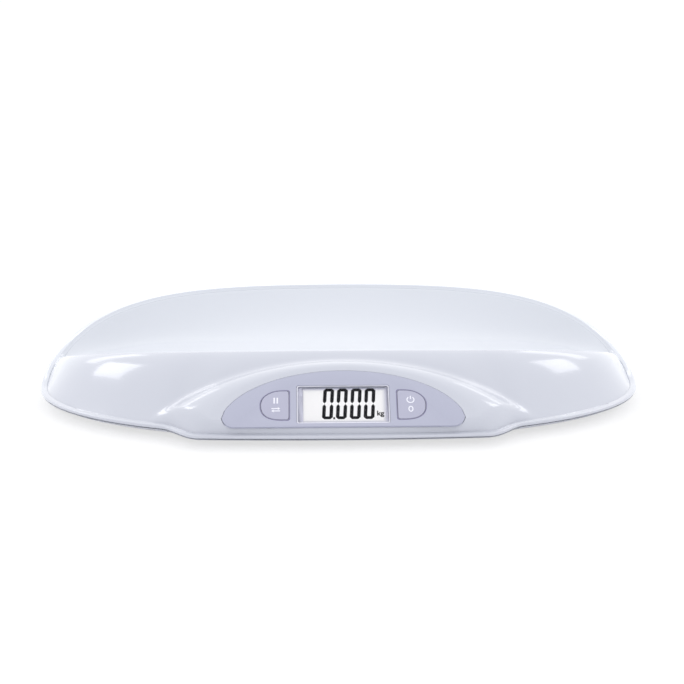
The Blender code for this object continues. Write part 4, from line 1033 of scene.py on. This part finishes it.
def makeBoard():
    half = board["halfWidth"]
    low = board["start"]
    high = low + board["tall"]
    outline = roundedBox((-half, half), (low, high), board["screwInset"] / 2)
    piece = makePiece("boardPlate", prism(outline, boardBack, boardTop), finish["board"], consoleMatrix)
    holes = [disc(board["shank"] + fit["gap"], boardBack - fit["overrun"], boardTop + fit["overrun"], place,
                  24)
             for place in boardScrewPlaces()]
    carve(piece, merge(holes), consoleMatrix)
    roundEdges(piece, board["plateEdge"], 2)
    settle(piece, "scale_body", ["circuit_board"])
    # the controller is an uneven drop of resin over its chip
    headTop = boardBack - fit["gap"]
    profile = [(0, headTop - board["chipThick"])]
    for i in range(1, 10):
        turn = math.pi / 2 * i / 9
        profile.append((board["chipRadius"] * math.sin(turn),
                        headTop - board["chipThick"] * math.cos(turn) ** 0.8))
    verts, faces = lathe(profile[:-1] + [(board["chipRadius"], headTop), (0, headTop)], 64)
    shaped = []
    for x, y, z in verts:
        turn = math.atan2(y, x)
        swell = 1 - 0.04 * (1 + math.sin(3 * turn + 0.6)) * min(math.hypot(x, y) / board["chipRadius"], 1)
        shaped.append((x * swell, y * swell, z))
    middle = Matrix.Translation((0, (low + high) / 2, 0))
    piece = makePiece("controllerDrop", (shaped, faces), finish["resin"], consoleMatrix @ middle, 50)
    settle(piece, "scale_body", ["controller_chip"])
    # a few small parts stand round it, each with a pad of solder at both ends
    bodies = []
    ends = []
    for x, y in board["parts"]:
        long = board["partLong"] / 2
        wide = board["partWide"] / 2
        zs = (boardBack - board["partTall"], boardBack)
        bodies.append(softBox((x - long * 0.6, x + long * 0.6), (y - wide, y + wide), zs, board["partEdge"],
                              foot=board["partFoot"]))
        for side in (-1, 1):
            edge = sorted((x + side * long * 0.6, x + side * long))
            ends.append(softBox(edge, (y - wide, y + wide), (zs[0] - fit["hair"], zs[1]), board["padEdge"],
                                foot=board["padFoot"]))
    settle(makePiece("boardPartBodies", merge(bodies), finish["resin"], consoleMatrix), "scale_body")
    settle(makePiece("boardPartEnds", merge(ends), finish["steel"], consoleMatrix), "scale_body")

    # the strips join the glass to the board along two edges, with the light plate between them
    start = max(window["start"] - window["glassMargin"] / 2, low) + fit["gap"]
    stop = min(window["start"] + window["tall"] + window["glassMargin"], high) - fit["gap"]
    wide = board["stripWide"]
    xs = (wide - window["wide"] / 2, window["wide"] / 2 - wide)
    top = glassBack - fit["gap"]
    for name, edge in (("lower", start), ("upper", stop - wide)):
        strip = softBox(xs, (edge, edge + wide), (boardTop + fit["gap"], top), board["stripCorner"],
                        board["stripEdge"], board["stripEdge"])
        piece = makePiece("strip_" + name, strip, finish["strip"], consoleMatrix)
        settle(piece, "scale_body", ["contact_strip_" + name])
    light = softBox(xs, (start + 2 * wide, stop - 2 * wide), (top - board["lightThick"], top),
                    board["lightCorner"], board["lightEdge"], board["lightEdge"])
    piece = makePiece("lightPlate", light, finish["light"], consoleMatrix)
    settle(piece, "scale_body", ["backlight_plate"])


def makeSwitches():
    half = board["switchSize"] / 2
    edge = board["edge"]
    low = boardTop + fit["gap"]
    top = low + board["switchTall"]
    wellLow = top - board["plungerSeat"] - board["travel"]
    plungerTop = seatBack - fit["gap"] - button["flangeThick"] - fit["gap"]
    for name, side in (("hold", -1), ("zero", 1)):
        matrix = consoleMatrix @ Matrix.Translation((side * buttonX, buttonY, 0))
        well = disc(board["plungerRadius"] + fit["runningGap"], wellLow, top + fit["overrun"], (0, 0), 40)
        solid = softBox((-half, half), (-half, half), (low, top - board["lid"]), board["switchCorner"], edge,
                        edge)
        piece = makePiece(name + "SwitchBody", solid, finish["resin"], matrix)
        carve(piece, well, matrix)
        settle(piece, "scale_body", [name + "_switch"])
        # pressed metal lid with four legs that reach down to the board
        rim = half - board["lidInset"]
        solid = softBox((-rim, rim), (-rim, rim), (top - board["lid"], top), board["lidCorner"], top=edge)
        piece = makePiece(name + "SwitchLid", solid, finish["steel"], matrix)
        carve(piece, well, matrix)
        settle(piece, "scale_body")
        legs = []
        for x in (-1, 1):
            for y in (-1, 1):
                middle = y * half * 0.6
                ys = (middle - board["legWide"] / 2, middle + board["legWide"] / 2)
                for out, high in ((board["legThick"], low + board["legRise"]),
                                  (board["legReach"], boardTop + board["legThick"])):
                    legs.append(softBox(sorted((x * half, x * (half + out))), ys, (boardTop, high), edge,
                                        edge))
        settle(makePiece(name + "SwitchLegs", merge(legs), finish["steel"], matrix), "scale_body")
        plunger = softDisc(board["plungerRadius"], wellLow + board["travel"] + fit["gap"], plungerTop,
                           board["plungerFoot"], board["plungerEdge"])
        piece = makePiece(name + "Plunger", plunger, finish["nylon"], matrix)
        settle(piece, name + "_key", [name + "_plunger"])


shell = {
    "backStations": 70, "frontStations": 150, "apronRings": 34, "trayRings": 30,
    "crestNearShares": (0.975, 0.99), "trayNearShares": (0.006, 0.014, 0.024),
}


def shellRings(form):
    under = -body["lipThick"] / 2 - body["lipRound"] / 2
    wall = body["wall"]
    innerShares = (0.09, 0.20, 0.33, 0.47, 0.62, 0.77, 0.91)
    innerTray = (0.93, 0.66, 0.46, 0.32, 0.19, 0.10)
    crest = np.column_stack([form.opening, form.openingHeight - body["crestRound"]])
    rings = [form.inTray(share, wall) for share in innerTray]
    rings.append(crest - (0, 0, wall))
    rings += [form.onApron(share, wall) for share in reversed(innerShares)]
    lip = body["lipRound"]
    wide = body["lipWidth"]
    side = smooth((np.abs(form.outline[:, 0]) - body["grooveFrom"]) / body["grooveFade"])
    groove = side * (form.outline[:, 1] < body["grooveBack"]) * body["grooveDeep"]
    for inset, rise in ((wide + lip / 2, under + lip / 2), (wide - lip, under), (lip * 2.2, under),
                        (lip * 1.5, under + lip * 0.15), (lip * 0.8, under + lip * 0.5),
                        (lip * 0.3, under + lip),
                        (0, -lip * 0.5), (0, 0), (lip * 0.1, lip * 0.35), (lip * 0.4, lip * 0.62),
                        (lip, lip * 0.8),
                        (wide * 0.5, lip * 0.95)):
        rings.append(form.atLip(inset, rise))
    rings.append(form.atLip(wide - body["grooveWide"], lip))
    rings.append(form.atLip(wide - body["grooveWide"] * 0.5, lip - groove))
    rings.append(form.atLip(wide, lip))
    shares = [0.004, 0.012, 0.022, 0.035]
    shares += list(np.linspace(0.05, 0.96, shell["apronRings"]))
    shares += list(shell["crestNearShares"])
    rings += [form.onApron(share) for share in shares]
    crestRing = len(rings)
    rings.append(crest)
    shares = list(shell["trayNearShares"]) + list(np.linspace(0.036, 0.93, shell["trayRings"]))
    rings += [form.inTray(share) for share in shares]
    return rings, crestRing


def makeShell():
    form = BodyForm(shell["backStations"], shell["frontStations"])
    rings, crestRing = shellRings(form)
    piece = makePiece("trayShell", loft(rings), finish["shell"], None, 42)
    piece.data.materials.append(finish["tray"])
    loop = len(closeLoop(rings[0]))
    for face in piece.data.polygons[1 + crestRing * loop:]:
        face.material_index = 1
    addPosts(piece, rings)
    chamfer = panel["seatChamfer"]
    cutter = stack(lambda grow: halfMoon(fit["gap"] + grow), ((0, seat), (0, -chamfer), (chamfer, 0),
                                                              (chamfer + fit["overrun"], fit["overrun"])))
    carve(piece, cutter, consoleMatrix, smoothAngle=42)
    half = window["wide"] / 2 - window["ledge"]
    sight = roundedBox((-half, half), (window["start"] + window["ledge"],
                                       window["start"] + window["tall"] - window["ledge"]), window["corner"])
    deep = seatBack - console["wall"]
    through = [prism(sight, deep, seat + fit["overrun"] / 4)]
    for side in (-1, 1):
        through.append(disc(button["stemRadius"] + fit["runningGap"], deep, seat + fit["overrun"] / 4,
                            (side * buttonX, buttonY), 32))
    carve(piece, merge(through), consoleMatrix, smoothAngle=42)
    glassHalf = window["wide"] / 2 + window["glassMargin"] + fit["gap"]
    pocket = [block((-glassHalf, glassHalf), (window["start"] - window["glassMargin"] / 2 - fit["gap"],
                                              window["start"] + window["tall"] + window["glassMargin"]
                                              + fit["gap"]),
                    (deep, seatBack))]
    for side in (-1, 1):
        pocket.append(disc(button["flangeRadius"] + fit["runningGap"], deep, seatBack,
                           (side * buttonX, buttonY), 32))
    carve(piece, merge(pocket), consoleMatrix, smoothAngle=42)
    return settle(piece, "scale_body", ["top_shell"])


def makePanel():
    piece = makePiece("panelPlate", prism(halfMoon(), -panel["thick"], 0), finish["panel"], consoleMatrix)
    holes = [prism(windowOutline(fit["gap"]), -panel["thick"] - fit["overrun"], fit["overrun"])]
    for side in (-1, 1):
        outline = moved(buttonOutline(side, fit["runningGap"]), side * buttonX, buttonY)
        holes.append(prism(outline, -panel["thick"] - fit["overrun"], fit["overrun"]))
    carve(piece, merge(holes), consoleMatrix)
    roundEdges(piece, panel["edgeRound"])
    settle(piece, "scale_body", ["display_panel"])
    # a thin dark line follows each button's hole
    for name, side in (("hold", -1), ("zero", 1)):
        near = fit["runningGap"] + button["lineAway"]
        inner = moved(buttonOutline(side, near), side * buttonX, buttonY)
        outer = moved(buttonOutline(side, near + button["lineWide"]), side * buttonX, buttonY)
        line = makePiece(name + "PrintedLine", ringPrism(inner, outer, 0, fit["hair"]), finish["line"],
                         consoleMatrix)
        settle(line, "scale_body")


def ringPrism(inner, outer, low, high):
    count = len(inner)
    verts = ([(x, y, low) for x, y in inner] + [(x, y, low) for x, y in outer]
             + [(x, y, high) for x, y in outer] + [(x, y, high) for x, y in inner])
    faces = []
    for k in range(4):
        m = (k + 1) % 4
        for i in range(count):
            j = (i + 1) % count
            faces.append((k * count + i, k * count + j, m * count + j, m * count + i))
    return verts, faces


# the display's face and digits; each zero is an upper and a lower half on the glass, leaning a little
display = {
    "digitWide": 0.0092, "digitTall": 0.0317, "digitPitch": 0.0118, "firstDigit": -0.0138, "base": 0.0101,
    "stroke": 0.0030, "cornerCut": 0.70, "break": 0.0004, "lean": 0.06, "point": 0.0020,
    "unitSize": 0.0068, "unitX": 0.0284, "unitY": 0.0137, "inkThick": 0.00008, "unitBold": 0.00018,
    # widths of the painted shade along the window's inner edges, and of the painted highlight on its rim
    "shadeLeft": 0.0052, "shadeRight": 0.0024, "shadeTop": 0.0009, "shadeBottom": 0.0010,
    "highlightWide": 0.0007, "cellGap": 0.0001, "edgeShadeReach": 0.006, "frontRise": 0.0030,
}


# the display is white in the middle and glows faintly, partly backlight and partly painted light against the
# recess's shade; painted shade turns its edges lavender and dims their glow
def displayPaint():
    colour = (0.88, 0.87, 0.875)
    paint = Paint("displayFaceGlowAndEdgeShade", colour, 0.25, Emission_Strength=0.22)
    x = paint.add("ShaderNodeSeparateXYZ", {}, {"Vector": paint.place()}, "X")
    y = paint.add("ShaderNodeSeparateXYZ", {}, {"Vector": paint.place()}, "Y")
    half = window["wide"] / 2 - window["ledge"]
    middle = window["start"] + window["tall"] / 2
    halfTall = window["tall"] / 2 - window["ledge"]
    shadeReach = display["edgeShadeReach"]
    away = x.math("ABSOLUTE", x, 0.0)
    side = paint.add("ShaderNodeMapRange", {"interpolation_type": "SMOOTHSTEP"}, {
        "Value": away, "From Min": half - shadeReach, "From Max": half})
    rise = y.math("ABSOLUTE", y - middle, 0.0)
    top = paint.add("ShaderNodeMapRange", {"interpolation_type": "SMOOTHSTEP"}, {
        "Value": rise, "From Min": halfTall - shadeReach * 0.6, "From Max": halfTall})
    # painted shade along the edges, where the recess walls shade the display
    edge = side.math("MAXIMUM", side, top)
    cell = paint.noise(30, 2, 0.5)
    base = paint.mix(cell, tint(colour, 0.985), tint(colour, 1.01))
    paint.feed("Base Color", paint.mix(edge, base, (0.60, 0.60, 0.72, 1)))
    paint.feed("Emission Color", paint.mix(edge, (0.95, 0.94, 0.95, 1), (0.2, 0.2, 0.28, 1)))
    paint.feed("Roughness", (0.2 + cell * 0.1).clamp())
    return paint.material


# the upper or lower half of a seven-stroke zero, its outer corners cut off
def halfZero(way):
    wide = display["digitWide"] / 2
    tall = display["digitTall"] / 2
    stroke = display["stroke"]
    bevel = stroke * display["cornerCut"]
    gap = display["break"]
    outer = [(-wide, gap + bevel), (-wide, tall - bevel), (-wide + bevel, tall), (wide - bevel, tall),
             (wide, tall - bevel), (wide, gap + bevel)]
    nicks = [(wide - stroke / 2, gap), (wide - stroke, gap + bevel)]
    inner = [(wide - stroke, tall - stroke), (-wide + stroke, tall - stroke), (-wide + stroke, gap + bevel),
             (-wide + stroke / 2, gap)]
    return [(x, tall + way * y) for x, y in outer + nicks + inner]


def ordered(points):
    area = sum(a[0] * b[1] - b[0] * a[1] for a, b in zip(points, points[1:] + points[:1]))
    return points if area > 0 else list(reversed(points))


def leaned(points):
    return [(x + y * display["lean"], y) for x, y in points]


def makeDisplay():
    finish["display"] = displayPaint()
    glassTop = seatBack - fit["gap"]
    half = window["wide"] / 2 + window["glassMargin"]
    low = window["start"] - window["glassMargin"] / 2
    high = window["start"] + window["tall"] + window["glassMargin"]
    inkLow = glassTop + display["frontRise"] - display["inkThick"]
    # the front layer of the glass stands up through the shell's sight hole, close under the window
    cell = merge([block((-half, half), (low, high), (glassTop - window["glassThick"], glassTop)),
                  prism(windowOutline(-window["ledge"] - display["cellGap"]), glassTop, inkLow)])
    glass = makePiece("displayGlass", cell, finish["display"], consoleMatrix)
    roundEdges(glass, 0.0002, 2)
    settle(glass, "scale_body", ["display_glass"])
    solids = []
    inkHigh = inkLow + display["inkThick"]
    for number in range(4):
        x = display["firstDigit"] + number * display["digitPitch"]
        for way in (-1, 1):
            outline = ordered(moved(leaned(halfZero(way)), x, display["base"]))
            solids.append(prism(outline, inkLow, inkHigh))
    pointX = display["firstDigit"] + display["digitPitch"] / 2
    solids.append(prism(bar(pointX, display["base"] + display["point"] / 2, display["point"] * 0.8,
                            display["point"]),
                        inkLow, inkHigh))
    digits = makePiece("displayDigits", merge(solids), finish["digit"], consoleMatrix)
    settle(digits, "scale_body")
    unit = makeText("displayUnit", "kg", display["unitSize"], (display["unitX"], display["unitY"]), inkLow,
                    display["inkThick"])
    settle(unit, "scale_body")

    lens = makePiece("displayWindow",
                     prism(windowOutline(), -panel["thick"], -panel["thick"] + window["lensThick"]),
                     finish["clear"], consoleMatrix)
    roundEdges(lens, 0.0005, 3)
    # painted shade: a lavender ring behind the window darkens the display along its inner edge, where the
    # recess shades it; painted highlight: a pale ring on the window's edge stands in for the light its bevel
    # catches
    behind = -panel["thick"] - fit["hair"]
    edgeShade = makePiece("windowEdgeShade", ringPrism(edgeShadeOutline(), windowOutline(-fit["hair"]),
                                                 behind, -panel["thick"]), finish["edgeShade"], consoleMatrix)
    settle(edgeShade, "scale_body")
    lensTop = -panel["thick"] + window["lensThick"]
    # painted highlight: a pale ring in the icons' ink on the window's edge
    rim = makePiece("windowRimHighlight", ringPrism(windowOutline(-display["highlightWide"]), windowOutline(-fit["hair"]),
                                           lensTop, lensTop + fit["hair"]), finish["icon"], consoleMatrix)
    settle(rim, "scale_body")
    settle(lens, "scale_body", ["display_lens"])


def makeText(name, words, size, place, low, thick):
    text = bpy.data.curves.new(name, "FONT")
    text.body = words
    text.size = size
    text.extrude = thick / 2
    text.offset = display["unitBold"]
    holder = bpy.data.objects.new(name, text)
    scene.collection.objects.link(holder)
    bpy.context.view_layer.update()
    graph = bpy.context.evaluated_depsgraph_get()
    mesh = bpy.data.meshes.new_from_object(holder.evaluated_get(graph))
    bpy.data.objects.remove(holder)
    mesh.materials.clear()
    mesh.materials.append(finish["digit"])
    piece = bpy.data.objects.new(name, mesh)
    piece.matrix_world = consoleMatrix @ Matrix.Translation((place[0], place[1], low + thick / 2))
    scene.collection.objects.link(piece)
    return piece


# generic marks: a power ring with its bar, a plain zero, two pause bars and a pair of arrows
icon = {"size": 0.0060, "stroke": 0.0009, "away": 0.0047, "thick": 0.00006, "shift": 0.0008}


def arcBand(radius, stroke, start, end, centre, steps=24):
    x, y = centre
    angles = [math.radians(start + (end - start) * i / steps) for i in range(steps + 1)]
    inner, outer = ([(x + reach * math.cos(angle), y + reach * math.sin(angle)) for angle in angles]
                    for reach in (radius - stroke / 2, radius + stroke / 2))
    return ordered(outer + inner[::-1])


def bar(x, y, wide, tall):
    return [(x + across * wide / 2, y + up * tall / 2) for across, up in ((-1, -1), (1, -1), (1, 1), (-1, 1))]


def powerMark(x, y):
    radius = icon["size"] / 2
    return [arcBand(radius, icon["stroke"], 125, 415, (x, y)),
            bar(x, y + radius * 0.75, icon["stroke"], radius * 1.1)]


def zeroMark(x, y):
    points = []
    for inset in (icon["stroke"], 0):
        wide = icon["size"] * 0.36 - inset
        tall = icon["size"] * 0.5 - inset
        points.append([(x + wide * math.cos(math.radians(a)), y + tall * math.sin(math.radians(a)))
                       for a in range(0, 360, 12)])
    return [tuple(points)]


def pauseMark(x, y):
    away = icon["size"] * 0.22
    return [bar(x - away, y, icon["stroke"] * 1.4, icon["size"]),
            bar(x + away, y, icon["stroke"] * 1.4, icon["size"])]


def arrowsMark(x, y):
    solids = []
    half = icon["size"] * 0.62
    for way in (-1, 1):
        line = y + way * icon["size"] * 0.2
        tip = x + way * half
        solids.append(bar(x - way * icon["stroke"], line, 2 * half - 2 * icon["stroke"], icon["stroke"]))
        solids.append(ordered([(tip, line), (tip - way * icon["stroke"] * 2.2, line + icon["stroke"] * 1.6),
                               (tip - way * icon["stroke"] * 2.2, line - icon["stroke"] * 1.6)]))
    return solids


# a mark stands up from the button as a plain shape, or as a ring when it has two outlines
def raised(outline, low):
    high = low + icon["thick"]
    return ringPrism(*outline, low, high) if len(outline) == 2 else prism(outline, low, high)


def makeButtons():
    capBack = button["proud"] - button["cap"]
    flangeTop = seatBack - fit["gap"]
    for name, side in (("hold", -1), ("zero", 1)):
        matrix = consoleMatrix @ Matrix.Translation((side * buttonX, buttonY, 0))
        cap = makePiece(name + "Cap", stack(lambda grow: buttonOutline(side, grow), softLevels(
            capBack, button["proud"], top=button["edgeRound"])), finish["button"], matrix)
        bodyName = name + "_key"
        stem = lathe([(0, flangeTop - button["flangeThick"]),
                      (button["flangeRadius"], flangeTop - button["flangeThick"]),
                      (button["flangeRadius"], flangeTop), (button["stemRadius"], flangeTop),
                      (button["stemRadius"], capBack + fit["gap"]), (0, capBack + fit["gap"])], 32)
        carve(cap, stem, matrix, "UNION", 40)
        settle(cap, bodyName, [name + "_button"])
        low = button["proud"]
        marks = (powerMark, zeroMark) if side > 0 else (pauseMark, arrowsMark)
        solids = [raised(outline, low) for draw, away in zip(marks, (icon["away"], -icon["away"]))
                  for outline in draw(icon["shift"] * -side, away)]
        mark = makePiece(name + "Mark", merge(solids), finish["icon"], matrix)
        settle(mark, bodyName)


# the studio: pale floor, even sky, two soft lamps and two long ones beside them; the camera stands
# 17 degrees above the horizon
studio = {
    "distance": 1.600, "elevation": math.radians(17), "azimuth": math.radians(-1.4), "focalPixels": 1715,
    "picture": 684, "centreX": 339.2, "centreY": 394.5, "floor": 30.0, "floorColour": (0.93, 0.93, 0.94),
    "floorGlow": 0.66, "skyBack": (1.44, 1.45, 1.46), "skyFront": (1.08, 1.09, 1.11),
    "skyTurnLow": -0.6, "skyTurnHigh": 0.95,
    "lampAway": 1.5, "lampAim": (0.20, -0.06, 0.04),
    # each lamp: name, side, direction towards it, direction of its long edge, long edge, short edge, watts
    "lamps": (
        ("leftLamp", -1, (0.513, 0.430, 0.743), (-0.379, -0.663, 0.645), 0.37, 0.33, 1.30),
        ("rightLamp", 1, (0.513, 0.430, 0.743), (-0.379, -0.663, 0.645), 0.32, 0.31, 0.90),
        ("leftStrip", -1, (0.4045, 0.7006, 0.588), (-0.899, 0.383, 0.162), 0.50, 0.18, 0.50),
        ("rightStrip", 1, (0.4045, 0.7006, 0.588), (-0.899, 0.383, 0.162), 0.50, 0.18, 0.45),
    ),
}


def makeCamera():
    camera = bpy.data.objects.new("camera", bpy.data.cameras.new("camera"))
    scene.collection.objects.link(camera)
    camera.data.sensor_width = 36
    camera.data.lens = studio["focalPixels"] / studio["picture"] * camera.data.sensor_width
    camera.data.clip_end = 50
    elevation = studio["elevation"]
    azimuth = studio["azimuth"]
    level = studio["distance"] * math.cos(elevation)
    camera.location = (level * math.sin(azimuth), ovalY - level * math.cos(azimuth),
                       studio["distance"] * math.sin(elevation))
    pitch = math.atan((studio["centreY"] - studio["picture"] / 2) / studio["focalPixels"])
    yaw = math.atan((studio["centreX"] - studio["picture"] / 2) / studio["focalPixels"])
    camera.rotation_euler = (math.pi / 2 - elevation + pitch, 0, azimuth + yaw)
    scene.camera = camera


def makeFloor():
    size = studio["floor"]
    floor = makePiece("floor", ([(-size, -size, 0), (size, -size, 0), (size, size, 0), (-size, size, 0)],
                                [(0, 1, 2, 3)]), None)
    paint = Paint("paleFloor", studio["floorColour"], 1.0)
    tree = paint.tree
    output = tree.nodes["Material Output"]
    matte = paint.add("ShaderNodeBsdfDiffuse", {}, {"Color": (*studio["floorColour"], 1)})
    glow = paint.add("ShaderNodeEmission", {}, {"Strength": 1.0})
    seen = paint.add("ShaderNodeLightPath", {}, {}, "Is Camera Ray") * studio["floorGlow"]
    both = paint.add("ShaderNodeMixShader", {}, {0: seen, 1: matte, 2: glow})
    tree.links.new(both.socket, output.inputs["Surface"])
    tree.nodes.remove(paint.shader)
    floor.data.materials.append(paint.material)


# an even sky, paler above and behind the scale than in front of it, and pure white to the camera
def makeSky():
    world = bpy.data.worlds.new("evenSky")
    scene.world = world
    world.use_nodes = True
    tree = world.node_tree
    background = tree.nodes["Background"]
    place = tree.nodes.new("ShaderNodeTexCoord")
    split = tree.nodes.new("ShaderNodeSeparateXYZ")
    turn = tree.nodes.new("ShaderNodeMapRange")
    mixed = tree.nodes.new("ShaderNodeMix")
    seen = tree.nodes.new("ShaderNodeLightPath")
    white = tree.nodes.new("ShaderNodeMix")
    turn.interpolation_type = "SMOOTHSTEP"
    turn.inputs["From Min"].default_value = studio["skyTurnLow"]
    turn.inputs["From Max"].default_value = studio["skyTurnHigh"]
    for node in (mixed, white):
        node.data_type = "RGBA"
        node.clamp_result = False
    mixed.inputs[6].default_value = (*studio["skyFront"], 1)
    mixed.inputs[7].default_value = (*studio["skyBack"], 1)
    white.inputs[7].default_value = (1, 1, 1, 1)
    tree.links.new(place.outputs["Generated"], split.inputs[0])
    tree.links.new(split.outputs["Y"], turn.inputs["Value"])
    tree.links.new(turn.outputs[0], mixed.inputs[0])
    tree.links.new(mixed.outputs[2], white.inputs[6])
    tree.links.new(seen.outputs["Is Camera Ray"], white.inputs[0])
    tree.links.new(white.outputs[2], background.inputs["Color"])


def makeLamps():
    for name, side, toward, along, wide, tall, power in studio["lamps"]:
        lamp = bpy.data.lights.new(name, "AREA")
        lamp.shape = "RECTANGLE"
        lamp.size = wide
        lamp.size_y = tall
        lamp.energy = power
        holder = bpy.data.objects.new(name, lamp)
        scene.collection.objects.link(holder)
        mirror = Vector((side, 1, 1))
        back = (Vector(toward) * mirror).normalized()
        edge = Vector(along) * mirror
        edge = (edge - back * edge.dot(back)).normalized()
        turn = Matrix((edge, back.cross(edge), back)).transposed()
        stand = Vector(studio["lampAim"]) * mirror + back * studio["lampAway"]
        holder.matrix_world = Matrix.Translation(stand) @ turn.to_4x4()


scene.view_settings.view_transform = "Standard"
makeCamera()
makeFloor()
makeSky()
makeLamps()
print("camera, lamps and floor made")
makeShell()
print("tray shell made")
makePanel()
makeDisplay()
makeButtons()
print("console made")

makeCover()
makeDoor()
print("bottom cover and door made")
makeFeet()
makeScrews()
makeCells()
print("feet, screws, battery cells and contacts made")
makeBoard()
makeSwitches()
print("circuit board made")
